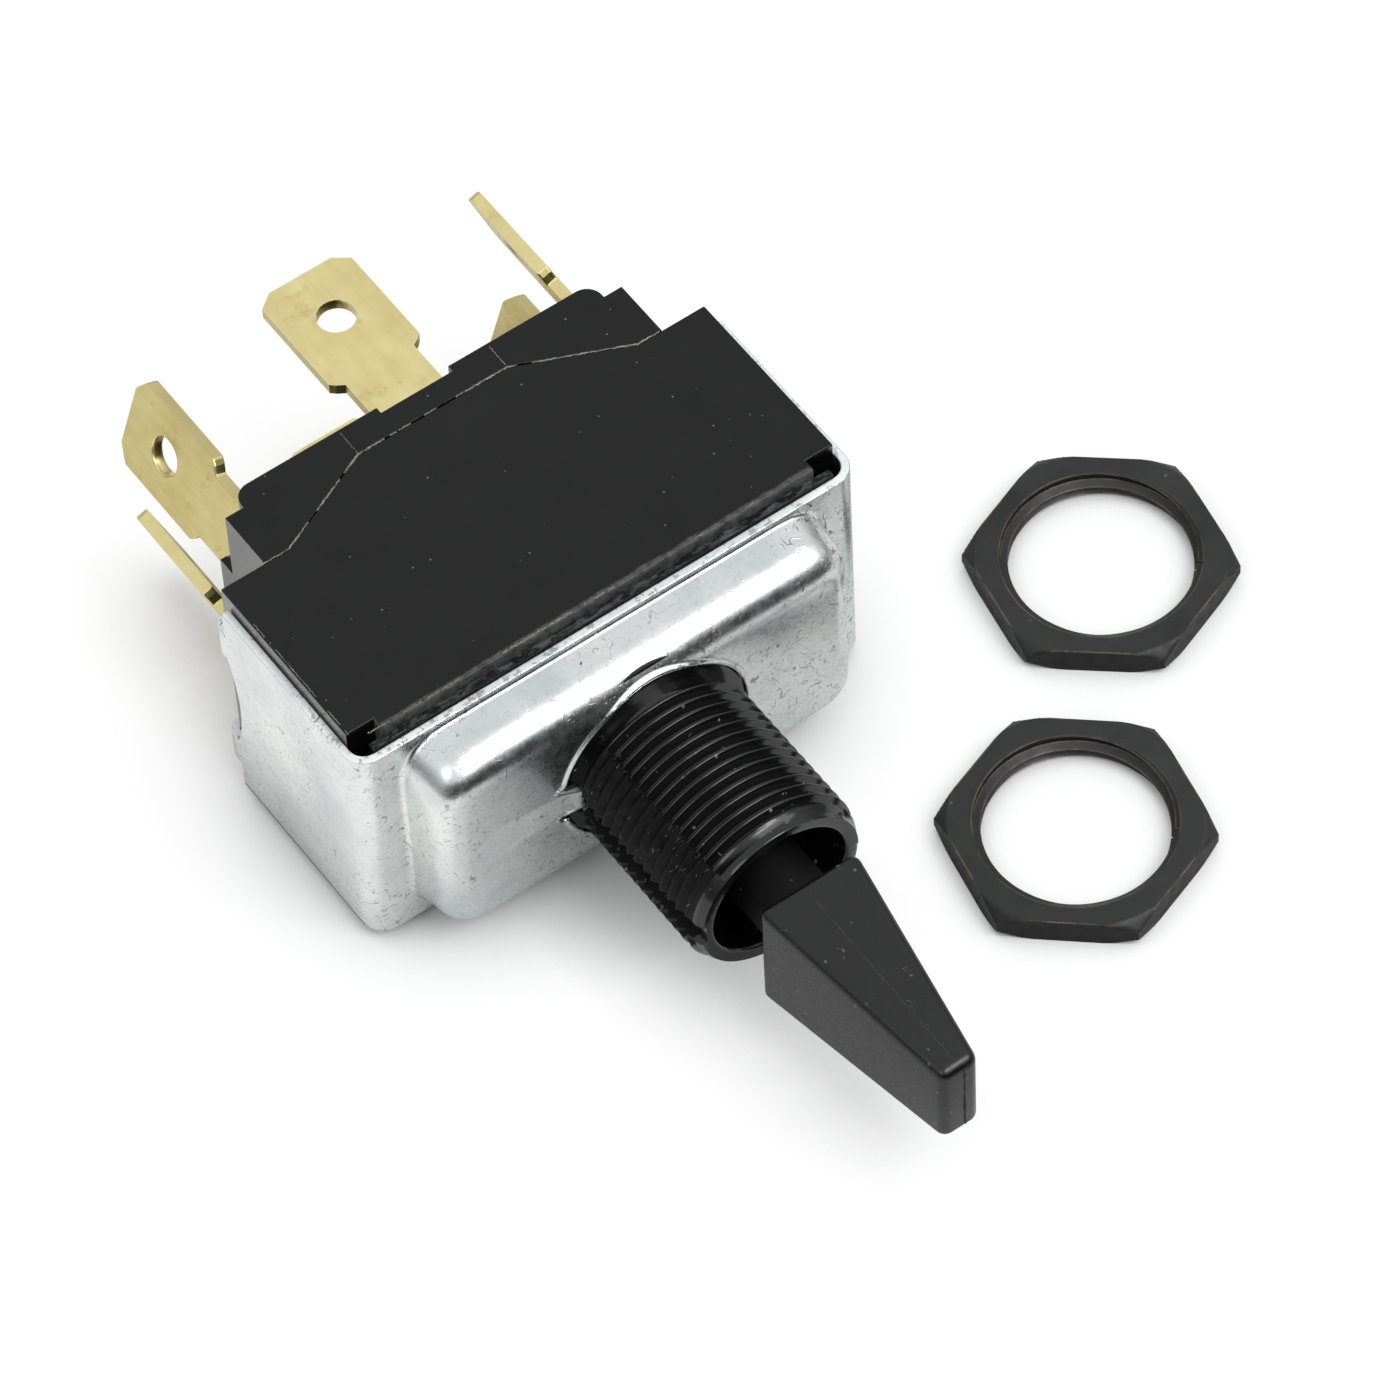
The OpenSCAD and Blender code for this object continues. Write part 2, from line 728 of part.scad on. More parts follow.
bracket();
housing();
terminal_board();
insulator();
bushing();
lever();
pivot_pin();
pin_retainer();
plunger_carrier();
plunger();  // plunger_upper
mirror([0, 0, 1]) plunger();  // plunger_lower
plunger_spring();  // plunger_spring_upper
mirror([0, 0, 1]) plunger_spring();  // plunger_spring_lower
rocker();  // rocker_upper
mirror([0, 0, 1]) rocker();  // rocker_lower
rocker_contacts();  // rocker_contacts_upper
mirror([0, 0, 1]) rocker_contacts();  // rocker_contacts_lower
corner_terminal(corner_tip);  // terminal_right_upper
mirror([1, 0, 0]) corner_terminal(corner_tip);  // terminal_left_upper
mirror([0, 0, 1]) corner_terminal(corner_tip - lower_row_drop);  // terminal_right_lower
mirror([1, 0, 0]) mirror([0, 0, 1]) corner_terminal(corner_tip - lower_row_drop);  // terminal_left_lower
centre_terminal(centre_tip);  // terminal_centre_upper
mirror([0, 0, 1]) centre_terminal(centre_tip - lower_row_drop);  // terminal_centre_lower
fixed_contacts();
translate([nut_1_x, 0, -housing_h / 2]) rotate([0, 0, -40]) panel_nut();  // mounting_nut_1
translate([nut_2_x, -nut_2_l, -housing_h / 2]) rotate([0, 0, -41]) panel_nut();  // mounting_nut_2
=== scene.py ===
"""Blender scene of the panel toggle switch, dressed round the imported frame."""
import math
import random

import bmesh
import bpy
from mathutils import Euler, Matrix, Vector, noise

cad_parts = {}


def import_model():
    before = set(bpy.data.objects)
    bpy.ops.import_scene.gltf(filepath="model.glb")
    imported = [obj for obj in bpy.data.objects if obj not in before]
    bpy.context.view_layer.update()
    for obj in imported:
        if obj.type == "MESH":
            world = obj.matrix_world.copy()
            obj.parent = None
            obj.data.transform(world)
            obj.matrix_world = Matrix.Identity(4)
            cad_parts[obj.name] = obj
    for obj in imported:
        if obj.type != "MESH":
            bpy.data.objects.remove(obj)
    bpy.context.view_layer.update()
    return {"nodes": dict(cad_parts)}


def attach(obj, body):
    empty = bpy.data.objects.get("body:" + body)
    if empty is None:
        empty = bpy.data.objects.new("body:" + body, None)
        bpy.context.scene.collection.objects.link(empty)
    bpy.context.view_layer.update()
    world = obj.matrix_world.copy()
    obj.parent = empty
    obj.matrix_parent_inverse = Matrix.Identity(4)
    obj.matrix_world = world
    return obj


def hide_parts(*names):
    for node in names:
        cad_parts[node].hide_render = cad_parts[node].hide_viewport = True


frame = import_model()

MM = 0.001
FLOOR_Z = -9.45
nodes = frame["nodes"]


# ---------------------------------------------------------------- materials

class Shader:
    """A node tree under construction, with short calls for its nodes."""

    def __init__(self, name):
        self.mat = bpy.data.materials.new(name)
        self.mat.use_nodes = True
        self.tree = self.mat.node_tree
        self.tree.nodes.clear()
        self.out = self.add("ShaderNodeOutputMaterial")
        self.bsdf = self.add("ShaderNodeBsdfPrincipled")
        self.link(self.bsdf.outputs[0], self.out.inputs[0])
        self.coord = self.add("ShaderNodeTexCoord").outputs["Object"]

    def add(self, kind, **values):
        node = self.tree.nodes.new(kind)
        for key, value in values.items():
            setattr(node, key, value)
        return node

    def link(self, a, b):
        self.tree.links.new(a, b)

    def put(self, socket, value):
        """Links a socket, or sets a plain value."""
        if isinstance(value, bpy.types.NodeSocket):
            self.link(value, socket)
        elif isinstance(value, (tuple, list)) and len(value) == 3 and socket.type == "RGBA":
            socket.default_value = (*value, 1)
        else:
            socket.default_value = value

    def set(self, **values):
        """Sets inputs of the Principled shader; underscores stand for spaces."""
        for key, value in values.items():
            self.put(self.bsdf.inputs[key.replace("_", " ")], value)

    def scaled(self, scale, turn=(0, 0, 0)):
        """Object coordinates turned and then stretched."""
        node = self.add("ShaderNodeMapping", vector_type="POINT")
        node.inputs["Rotation"].default_value = turn
        self.link(self.coord, node.inputs[0])
        stretch = self.add("ShaderNodeMapping", vector_type="POINT")
        stretch.inputs["Scale"].default_value = scale
        self.link(node.outputs[0], stretch.inputs[0])
        return stretch.outputs[0]

    def axis(self, index):
        """One of the object's own coordinates, in metres."""
        split = self.add("ShaderNodeSeparateXYZ")
        self.link(self.coord, split.inputs[0])
        return split.outputs[index]

    def noise(self, scale, detail=4, rough=0.55, vector=None, distort=0.0):
        """Noise with its scale in features per metre."""
        node = self.add("ShaderNodeTexNoise")
        self.link(vector or self.coord, node.inputs["Vector"])
        node.inputs["Scale"].default_value = scale
        node.inputs["Detail"].default_value = detail
        node.inputs["Roughness"].default_value = rough
        node.inputs["Distortion"].default_value = distort
        return node.outputs["Fac"]

    def voronoi(self, scale):
        """Distance to the nearest of many scattered points."""
        node = self.add("ShaderNodeTexVoronoi", feature="F1")
        self.link(self.coord, node.inputs["Vector"])
        node.inputs["Scale"].default_value = scale
        return node.outputs["Distance"]

    def ramp(self, factor, *stops):
        """Colour ramp; each stop is (position, grey or colour)."""
        node = self.add("ShaderNodeValToRGB")
        self.link(factor, node.inputs[0])
        elements = node.color_ramp.elements
        while len(elements) < len(stops):
            elements.new(0.5)
        for element, (place, colour) in zip(elements, stops):
            element.position = place
            if not isinstance(colour, (tuple, list)):
                colour = (colour,) * 3
            element.color = (*colour, 1)
        return node.outputs[0]

    def math(self, operation, a, b=0.0):
        node = self.add("ShaderNodeMath", operation=operation)
        self.put(node.inputs[0], a)
        self.put(node.inputs[1], b)
        return node.outputs[0]

    def times(self, a, b):
        return self.math("MULTIPLY", a, b)

    def plus(self, a, b):
        return self.math("ADD", a, b)

    def minus(self, a, b):
        return self.math("SUBTRACT", a, b)

    def most(self, a, b):
        return self.math("MAXIMUM", a, b)

    def span(self, value, low, high, out_low=0.0, out_high=1.0):
        """Maps a value smoothly from one range to another and holds it there."""
        node = self.add("ShaderNodeMapRange", interpolation_type="SMOOTHSTEP")
        self.put(node.inputs[0], value)
        for k, limit in enumerate((low, high, out_low, out_high)):
            node.inputs[k + 1].default_value = limit
        return node.outputs[0]

    def mix(self, factor, a, b):
        node = self.add("ShaderNodeMix", data_type="RGBA")
        self.put(node.inputs[0], factor)
        self.put(node.inputs[6], a)
        self.put(node.inputs[7], b)
        return node.outputs[2]

    def bump(self, height, distance, strength=1.0, normal=None):
        """Bump whose distance is in metres."""
        node = self.add("ShaderNodeBump")
        self.put(node.inputs["Height"], height)
        node.inputs["Strength"].default_value = strength
        node.inputs["Distance"].default_value = distance
        if normal:
            self.link(normal, node.inputs["Normal"])
        return node.outputs[0]

    def facing(self, index):
        """How squarely the surface faces along one axis, from 0 to 1."""
        split = self.add("ShaderNodeSeparateXYZ")
        self.link(self.add("ShaderNodeNewGeometry").outputs["Normal"], split.inputs[0])
        return self.math("ABSOLUTE", split.outputs[index])

    def edges(self, radius, low=0.0, high=1.0):
        """A mask of the edges, from the bevelled normal against the true one."""
        bevel = self.add("ShaderNodeBevel", samples=4)
        bevel.inputs["Radius"].default_value = radius
        geometry = self.add("ShaderNodeNewGeometry")
        dot = self.add("ShaderNodeVectorMath", operation="DOT_PRODUCT")
        self.link(bevel.outputs[0], dot.inputs[0])
        self.link(geometry.outputs["Normal"], dot.inputs[1])
        return self.span(dot.outputs["Value"], 1 - low, 1 - high)

    def hairlines(self, scale, width, share, seed):
        """Short fine curved strokes: thin contour lines of one noise, kept where another is high."""
        place = self.scaled((1, 1, 1), (seed, seed * 0.7, seed * 1.9))
        field = self.noise(scale, 1, 0.4, place, 0.6)
        off_middle = self.math("ABSOLUTE", self.minus(field, 0.5))
        line = self.span(off_middle, 0.0, width, 1.0, 0.0)
        other_place = self.scaled((1, 1, 1), (seed * 2.3, seed, seed * 0.4))
        kept = self.noise(scale * 1.7, 2, 0.5, other_place)
        return self.times(line, self.span(kept, 1 - share, 1.02 - share))

    def specks(self, scale, size, crowd, share):
        """Round specks that fade out over the size's range, kept where a crowding noise is high."""
        dots = self.ramp(self.voronoi(scale), (size[0], 1.0), (size[1], 0.0))
        return self.times(dots, self.ramp(crowd, (share[0], 0.0), (share[1], 1.0)))


# where the zinc and the housing change along the object, in metres: each pair is a soft step
PAINTED_EDGE_SHADE_Z = (-0.0083, -0.0081)
PAINTED_EDGE_SHADE_Y = (0.0045, 0.0052)
SCUFF_Y = (0.0048, 0.0055)
ZINC_PALE = (0.82, 0.84, 0.82)
ZINC_GREY = (0.60, 0.645, 0.64)
ZINC_STREAK = (0.42, 0.44, 0.45)
ZINC_MARK_AND_SHADE = (0.03, 0.034, 0.03)


def zinc(name="zinc", gain=1.0, rough=(0.22, 0.34), pitting=0.0, metallic=1.0):
    """Bright zinc plate with dark hairlines and spots, and painted shade along the lower edge of the side
    plates; the pitting is for edges cut by shearing.
    """
    s = Shader(name)
    cloud = s.noise(140, 5, 0.6)
    grain = s.noise(1700, 4, 0.65)
    streak = s.noise(2400, 4, 0.7, s.scaled((0.12, 1, 1)))
    pale, grey = (tuple(min(c * gain, 1.0) for c in colour) for colour in (ZINC_PALE, ZINC_GREY))
    tone = s.ramp(cloud, (0.32, grey), (0.66, pale))
    tone = s.mix(s.ramp(streak, (0.5, 0.0), (0.78, 0.12)), tone, ZINC_STREAK)
    # the hairlines lie in crowds, with fewer on the side plates than on the front
    plates = s.span(s.facing(0), 0.7, 0.95, 1.0, 0.45)
    crowd = s.times(s.ramp(s.noise(150, 3, 0.6), (0.42, 0.12), (0.6, 1.0)), plates)
    coarse = s.times(s.hairlines(900, 0.022, 0.485, 1.0), 0.95)
    fine = s.times(s.hairlines(1700, 0.035, 0.45, 2.0), 0.6)
    spots = s.times(s.ramp(s.noise(1100, 4, 0.7), (0.69, 0.0), (0.72, 1.0)), 0.75)
    marks_and_shade = s.most(s.times(s.most(coarse, fine), crowd), spots)
    # painted shade: the lower edge of the side plates is painted dark, for the shadowed gap under them that
    # it reflects
    painted_edge_shade = s.times(s.span(s.axis(2), *PAINTED_EDGE_SHADE_Z, 0.95, 0.0), s.span(s.axis(1), *PAINTED_EDGE_SHADE_Y))
    marks_and_shade = s.most(marks_and_shade, painted_edge_shade)
    if pitting:
        marks_and_shade = s.most(marks_and_shade, s.times(s.ramp(grain, (0.56, 0.0), (0.62, 1.0)), pitting))
    bump = s.bump(marks_and_shade, 0.00003, 0.5)
    bump = s.bump(s.plus(s.times(streak, 0.6), grain), 0.000012, 0.35, bump)
    s.set(Base_Color=s.mix(marks_and_shade, tone, ZINC_MARK_AND_SHADE), Metallic=metallic,
          Roughness=s.ramp(grain, (0.3, rough[0]), (0.75, rough[1])),
          Normal=s.bump(cloud, 0.00016, 0.3, bump))
    return s.mat


def phenolic():
    """Black moulded resin, specked and scuffed."""
    s = Shader("phenolic")
    fine = s.noise(2600, 5, 0.65)
    cloud = s.noise(220, 4, 0.6)
    tone = s.ramp(cloud, (0.3, 0.002), (0.75, 0.0045))
    specks = s.specks(1300, (0.05, 0.1), s.noise(300, 3), (0.55, 0.62))
    rim = s.times(s.edges(0.00012, 0.02, 0.2), s.ramp(s.noise(1800, 4), (0.42, 0.0), (0.6, 1.0)))
    # scuffed along the front edge, where the bracket was pressed on
    front = s.span(s.axis(1), *SCUFF_Y, 1.0, 0.0)
    ragged = s.minus(s.noise(1300, 6, 0.8, s.scaled((0.5, 1, 1))), 0.5)
    patches = s.ramp(s.noise(1800, 5, 0.8), (0.36, 0.15), (0.62, 1.0))
    scuff = s.times(s.span(s.plus(front, ragged), 0.45, 0.85), patches)
    pale = s.most(s.times(specks, 0.6), s.most(s.times(rim, 0.3), s.times(scuff, 0.38)))
    # painted reflection: the short sides are smoother and shinier, and painted paler grey for the bright
    # floor they reflect
    side = s.span(s.facing(0), 0.6, 0.9)
    pale = s.most(pale, s.times(side, 0.6))
    rough = s.plus(s.ramp(fine, (0.3, 0.24), (0.7, 0.36)), s.times(scuff, 0.3))
    s.set(Base_Color=s.mix(pale, tone, (0.24, 0.24, 0.235)),
          Roughness=s.minus(rough, s.times(side, 0.16)),
          Specular_IOR_Level=s.plus(s.times(side, 0.5), 0.28),
          Normal=s.bump(s.plus(fine, s.times(scuff, 2.0)), 0.00002, 0.3))
    return s.mat


def pale_dust(name, dark, pale):
    """Ragged flash that stands in the moulding's seams and along its parting lines."""
    s = Shader(name)
    grain = s.noise(2600, 5, 0.75)
    s.set(Base_Color=s.ramp(grain, (0.35, dark), (0.62, pale)),
          Roughness=s.ramp(grain, (0.3, 0.6), (0.7, 0.8)), Normal=s.bump(grain, 0.00002, 0.6))
    return s.mat


def nylon(name, rough, grey=0.004, dust=0.12, specular=0.45):
    """Black nylon with dust specks and fine pale hairlines."""
    s = Shader(name)
    fine = s.noise(2800, 4, 0.6)
    cloud = s.noise(300, 3, 0.5)
    tone = s.ramp(cloud, (0.3, grey * 0.8), (0.75, grey * 1.4))
    specks = s.specks(1000, (0.08, 0.13), s.noise(500, 3), (0.5, 0.58))
    pale = s.times(s.most(specks, s.hairlines(900, 0.012, 0.34, 3.0)), dust)
    s.set(Base_Color=s.mix(pale, tone, (0.75, 0.75, 0.74)),
          Roughness=s.ramp(fine, (0.3, rough - 0.06), (0.7, rough + 0.06)),
          Specular_IOR_Level=specular, Normal=s.bump(fine, 0.00001, 0.35))
    return s.mat


def oxide():
    """Black oxide on steel, worn to brown along its edges."""
    s = Shader("black_oxide")
    fine = s.noise(1600, 5, 0.65)
    cloud = s.noise(260, 4, 0.6)
    tone = s.ramp(cloud, (0.3, 0.02), (0.75, 0.034))
    worn = s.times(s.edges(0.0002, 0.02, 0.25), s.ramp(s.noise(420, 5, 0.7), (0.42, 0.0), (0.56, 1.0)))
    specks = s.specks(800, (0.06, 0.1), cloud, (0.5, 0.6))
    tone = s.mix(s.times(specks, 0.25), tone, (0.3, 0.3, 0.3))
    # painted shade: the six flats are painted darker than the two faces, for the shadowed floor they reflect
    tone = s.mix(s.span(s.facing(2), 0.1, 0.6), (0.006, 0.006, 0.006), tone)
    s.set(Base_Color=s.mix(s.times(worn, 0.7), tone, (0.3, 0.23, 0.14)),
          Metallic=0.25, Roughness=s.ramp(fine, (0.3, 0.4), (0.75, 0.58)), Specular_IOR_Level=0.3,
          Normal=s.bump(fine, 0.00002, 0.4))
    return s.mat


def brass():
    """Rolled brass with streaks and brown stains, pale worn edges that also carry a painted highlight, and a
    painted sheen on the faces that lie flat.
    """
    s = Shader("brass")
    cloud = s.noise(320, 4, 0.6)
    streak = s.noise(900, 5, 0.7, s.scaled((1, 0.12, 1)))
    tone = s.ramp(cloud, (0.3, (0.70, 0.58, 0.23)), (0.75, (0.86, 0.76, 0.37)))
    tone = s.mix(s.ramp(streak, (0.45, 0.0), (0.72, 0.3)), tone, (0.55, 0.42, 0.14))
    # painted sheen: the faces that lie flat are painted palest, for the bright light overhead that they
    # reflect
    tone = s.mix(s.span(s.facing(2), 0.8, 0.97, 0.0, 0.16), tone, (0.97, 0.90, 0.58))
    stain = s.ramp(s.noise(420, 6, 0.75), (0.56, 0.0), (0.7, 1.0))
    tone = s.mix(s.times(stain, 0.5), tone, (0.42, 0.27, 0.07))
    # the pale edges are wear and also a painted highlight
    worn = s.edges(0.00012, 0.02, 0.3)
    s.set(Base_Color=s.mix(s.times(worn, 0.8), tone, (0.98, 0.92, 0.72)), Metallic=1.0,
          Roughness=s.ramp(streak, (0.3, 0.24), (0.75, 0.4)), Normal=s.bump(streak, 0.000014, 0.4))
    return s.mat


def fibre():
    """Black fibre sheet whose upper and lower cut edges are dusty."""
    s = Shader("fibre")
    ragged = s.noise(1500, 5, 0.8, s.scaled((0.4, 1, 1)))
    dusty = s.times(s.span(s.facing(2), 0.5, 0.9), s.ramp(ragged, (0.46, 0.0), (0.6, 1.0)))
    s.set(Base_Color=s.mix(dusty, (0.004, 0.004, 0.004), (0.08, 0.082, 0.084)),
          Roughness=s.ramp(ragged, (0.3, 0.5), (0.7, 0.7)), Specular_IOR_Level=0.2)
    return s.mat


def plain_metal(name, colour, rough):
    s = Shader(name)
    cloud = s.noise(700, 4, 0.6)
    dark = tuple(c * 0.8 for c in colour)
    s.set(Base_Color=s.ramp(cloud, (0.3, dark), (0.7, colour)), Metallic=1.0,
          Roughness=s.ramp(s.noise(2000, 3), (0.3, rough - 0.06), (0.7, rough + 0.06)))
    return s.mat


def plain_plastic(name, colour, rough):
    s = Shader(name)
    cloud = s.noise(500, 4, 0.6)
    dark = tuple(c * 0.85 for c in colour)
    s.set(Base_Color=s.ramp(cloud, (0.3, dark), (0.7, colour)),
          Roughness=s.ramp(s.noise(2400, 3), (0.3, rough - 0.06), (0.7, rough + 0.06)))
    return s.mat


MATERIALS = {
    "zinc": zinc(),
    # the sheet's cut edges: pitted, and painted paler than the plate as a painted highlight
    "cut_edge": zinc("cut_edge", 1.15, (0.25, 0.45), 0.5, 0.5),
    "phenolic": phenolic(),
    "seam_dust": pale_dust("seam_dust", (0.05, 0.05, 0.05), (0.34, 0.33, 0.3)),
    "flash": pale_dust("flash", (0.01, 0.01, 0.01), (0.14, 0.14, 0.135)),
    "fibre": fibre(),
    "black_nylon": nylon("black_nylon", 0.13, dust=0.2, specular=0.55),
    "lever_nylon": nylon("lever_nylon", 0.3, dust=0.12),
    "witness": pale_dust("witness", (0.006, 0.006, 0.006), (0.06, 0.06, 0.058)),
    "torn_nylon": nylon("torn_nylon", 0.5, 0.003, 0.2, 0.16),
    # painted shade: the stem inside the bushing is darker and less dusty than the other nylon, for the shade
    # in the bore
    "stem_nylon": nylon("stem_nylon", 0.5, 0.002, 0.05, 0.2),
    "natural_nylon": plain_plastic("natural_nylon", (0.75, 0.72, 0.64), 0.45),
    "steel": plain_metal("steel", (0.55, 0.56, 0.58), 0.3),
    "copper": plain_metal("copper", (0.72, 0.42, 0.28), 0.35),
    "silver": plain_metal("silver", (0.86, 0.85, 0.82), 0.3),
    "brass": brass(),
    "black_oxide": oxide(),
}


# ---------------------------------------------------------------- helpers

def dress(name, material, bevel=0.0, segments=2, angle=35):
    """Gives a CAD node its material and softly rounded edges."""
    obj = nodes[name]
    obj.data.materials.clear()
    obj.data.materials.append(MATERIALS[material])
    for face in obj.data.polygons:
        face.material_index = 0
    weld = obj.modifiers.new("weld", "WELD")
    weld.merge_threshold = 1e-6
    if bevel:
        add_bevel(obj, bevel, segments, angle)


def add_bevel(obj, width, segments=2, angle=35):
    """Rounds the edges that are sharper than an angle, by a width in millimetres."""
    mod = obj.modifiers.new("bevel", "BEVEL")
    mod.width = width * MM
    mod.segments = segments
    mod.limit_method = "ANGLE"
    mod.angle_limit = math.radians(angle)
    mod.harden_normals = True
    return mod


def add_object(name, data):
    obj = bpy.data.objects.new(name, data)
    bpy.context.scene.collection.objects.link(obj)
    return obj


def make(name, verts, faces, material, body, replaces=(), smooth=35, facing=None):
    """A mesh piece from vertices in millimetres; an open sheet is turned to its facing."""
    mesh = bpy.data.meshes.new(name)
    mesh.from_pydata([Vector(v) * MM for v in verts], [], faces)
    obj = add_object(name, mesh)
    bm = bmesh.new()
    bm.from_mesh(mesh)
    bmesh.ops.remove_doubles(bm, verts=bm.verts, dist=1e-7)
    bmesh.ops.dissolve_degenerate(bm, edges=bm.edges, dist=1e-8)
    bmesh.ops.recalc_face_normals(bm, faces=bm.faces)
    if facing:
        total = sum((f.normal * f.calc_area() for f in bm.faces), Vector())
        if total.dot(Vector(facing)) < 0:
            bmesh.ops.reverse_faces(bm, faces=bm.faces)
    bm.to_mesh(mesh)
    bm.free()
    mesh.materials.append(MATERIALS[material])
    mesh.shade_smooth()
    if smooth:
        mesh.set_sharp_from_angle(angle=math.radians(smooth))
    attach(obj, body)
    if replaces:
        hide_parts(*replaces)
    return obj


def grid_faces(rows, columns, close_rows=False, close_columns=False):
    """Quads between neighbouring rows of vertices."""
    faces = []
    for i in range(rows if close_rows else rows - 1):
        for j in range(columns if close_columns else columns - 1):
            a = i * columns
            b = (i + 1) % rows * columns
            k = (j + 1) % columns
            faces.append((a + j, a + k, b + k, b + j))
    return faces


def smooth_step(value, low, high):
    """A soft step from 0 to 1 over a range."""
    t = min(max((value - low) / (high - low), 0.0), 1.0)
    return t * t * (3 - 2 * t)


def flutter(x, y, z, scale):
    """Smooth noise between -1 and 1; the scale is in features per millimetre."""
    return noise.noise(Vector((x, y, z)) * scale)


# ---------------------------------------------------------------- CAD nodes

dress("housing", "phenolic", 0.12, 2)
dress("terminal_board", "phenolic", 0.1, 2)
dress("insulator", "fibre", 0.03, 1)
dress("pivot_pin", "steel", 0.1)
dress("pin_retainer", "steel", 0.05)
dress("plunger_carrier", "natural_nylon", 0.1)
for row in ("upper", "lower"):
    dress("plunger_" + row, "natural_nylon")
    dress("plunger_spring_" + row, "steel")
    dress("rocker_" + row, "copper", 0.05)
    dress("rocker_contacts_" + row, "silver", 0.05)
    for place in ("left", "centre", "right"):
        dress("terminal_%s_%s" % (place, row), "brass", 0.13, 3)
dress("fixed_contacts", "silver", 0.05)


# ---------------------------------------------------------------- bracket

# the folded sheet, in millimetres as all sizes below; the drawn block's face lies at y = 0
SHEET = 0.55
SEAT_HOLE_R = 6.35
TAB_TIP_X = 5.2
TAB_HALF_ANGLE = math.radians(8.4)
TAB_SIDE = 0.02
TAB_SLOPE = 0.42
RELIEF_R = 0.35
RELIEF_Z = 1.2
BASE_HALF = (14.67, 8.02)
ROLL_END_R, ROLL_R = 1.4, 2.1
ROLL_TURNS = (0, 12, 24, 36, 48, 60, 72, 81, 90)
BASE_CORNER_R, FACE_CORNER_R = 2.8, 1.6
DRAFT = 0.14
FOOT_R, FOOT_GROWTH, FOOT_BLEND = 0.28, 0.14, 3.5
FLANGE_Y = 3.7
FOLD_R = 1.5
SIDE_X = 17.45
EDGE_Z = 8.45
SIDE_BACK_Y = 17.4
EAR_Z = (4.0, 6.4)
EAR_BEND_R = 0.9
EAR_END_X = 15.4
EAR_BACK_Y = 18.75
HOLLOW = 0.7
HOLLOW_R = (EAR_Z[0] ** 2 + HOLLOW ** 2) / (2 * HOLLOW)
# rings round the hole: distance from its edge, and how far the lip stands out there
LIP = ((0.0, 0.06), (0.12, 0.17), (0.21, 0.16), (0.3, 0.06), (0.38, 0.0), (0.44, 0.0), (0.5, 0.0))
# how closely the rays stand, in radians, and how often a search halves its range
RAYS = 176
RAY_GAP, WALL_GAP = 0.012, 0.016
HALVINGS = 44


def hole_reach(angle):
    """Distance of the seat hole's edge from the axis, with the key tab on the -X side."""
    off = abs(abs(angle) - math.pi)
    if off < TAB_HALF_ANGLE:
        return TAB_TIP_X / math.cos(off)
    # far side of the small relief beside the tab, where it lies outside the hole
    centre = (-SEAT_HOLE_R, RELIEF_Z)
    direction = (-math.cos(off), math.sin(off))
    along = centre[0] * direction[0] + centre[1] * direction[1]
    apart = RELIEF_R ** 2 - (centre[0] ** 2 + centre[1] ** 2 - along ** 2)
    if apart > 0:
        return max(SEAT_HOLE_R, along + math.sqrt(apart))
    return SEAT_HOLE_R


def roll_inset(y, radius):
    """How far a rolled edge lies inside its wall at a depth behind the face."""
    return radius - math.sqrt(radius ** 2 - (radius - y) ** 2) if y < radius else 0.0


def contour(y):
    """Half sizes and corner radius of the drawn block at a depth behind its face."""
    slope = DRAFT * (FLANGE_Y - y)
    half_x = BASE_HALF[0] - slope - roll_inset(y, ROLL_END_R)
    half_z = BASE_HALF[1] - slope - roll_inset(y, ROLL_R)
    corner = max(FACE_CORNER_R, BASE_CORNER_R - roll_inset(y, ROLL_R))
    return half_x, half_z, corner


def outline_reach(angle, half_x, half_z, corner):
    """Distance along a ray to a rounded rectangle."""
    ux, uz = abs(math.cos(angle)), abs(math.sin(angle))
    low, high = 0.0, 60.0
    for _ in range(HALVINGS):
        mid = (low + high) / 2
        dx = max(mid * ux - half_x + corner, 0.0)
        dz = max(mid * uz - half_z + corner, 0.0)
        if math.hypot(dx, dz) < corner:
            low = mid
        else:
            high = mid
    return low


def face_depth(z):
    """Depth of the face behind the seat at a height near the hole, where only the long rolls reach."""
    low, high = 0.0, FLANGE_Y
    if contour(0.0)[1] >= abs(z):
        return 0.0
    for _ in range(HALVINGS):
        mid = (low + high) / 2
        if contour(mid)[1] < abs(z):
            low = mid
        else:
            high = mid
    return low


def flange_reach(angle):
    """Distance along a ray to the rectangle where the folds begin."""
    ux, uz = abs(math.cos(angle)), abs(math.sin(angle))
    return min((SIDE_X - FOLD_R) / max(ux, 1e-6), EDGE_Z / max(uz, 1e-6))


def bracket_angles():
    """Ray directions: an even fan, the sheet's corners, the ears' sides and the key tab."""
    start_x = SIDE_X - FOLD_R
    special = [math.atan2(z, start_x) for z in (EDGE_Z,) + EAR_Z]
    angles = {round(2 * math.pi * i / RAYS, 6) for i in range(RAYS)}
    for a in special:
        for exact in (a, math.pi - a, math.pi + a, 2 * math.pi - a):
            angles = {b for b in angles if abs(b - exact) > RAY_GAP} | {exact}
    for side in (-1, 1):
        walls = {math.pi + side * (TAB_HALF_ANGLE + nudge)
                 for nudge in (-TAB_SIDE, TAB_SIDE, 0.05, 0.08)}
        angles = {b for b in angles if min(abs(b - wall) for wall in walls) > WALL_GAP} | walls
    return sorted(angles)


def near_hole(a, extra, lift=0.0):
    """A ring on the face at a distance from the hole's edge, where the key tab stands out a little."""
    reach = hole_reach(a) + extra
    off = abs(abs(a) - math.pi)
    if extra > LIP[-2][0]:
        reach = max(reach, SEAT_HOLE_R + 0.12)
    raised = TAB_SLOPE * max(SEAT_HOLE_R - reach, 0.0)
    return reach, face_depth(reach * math.sin(a)) - lift * smooth_step(off, 0.15, 0.3) - raised


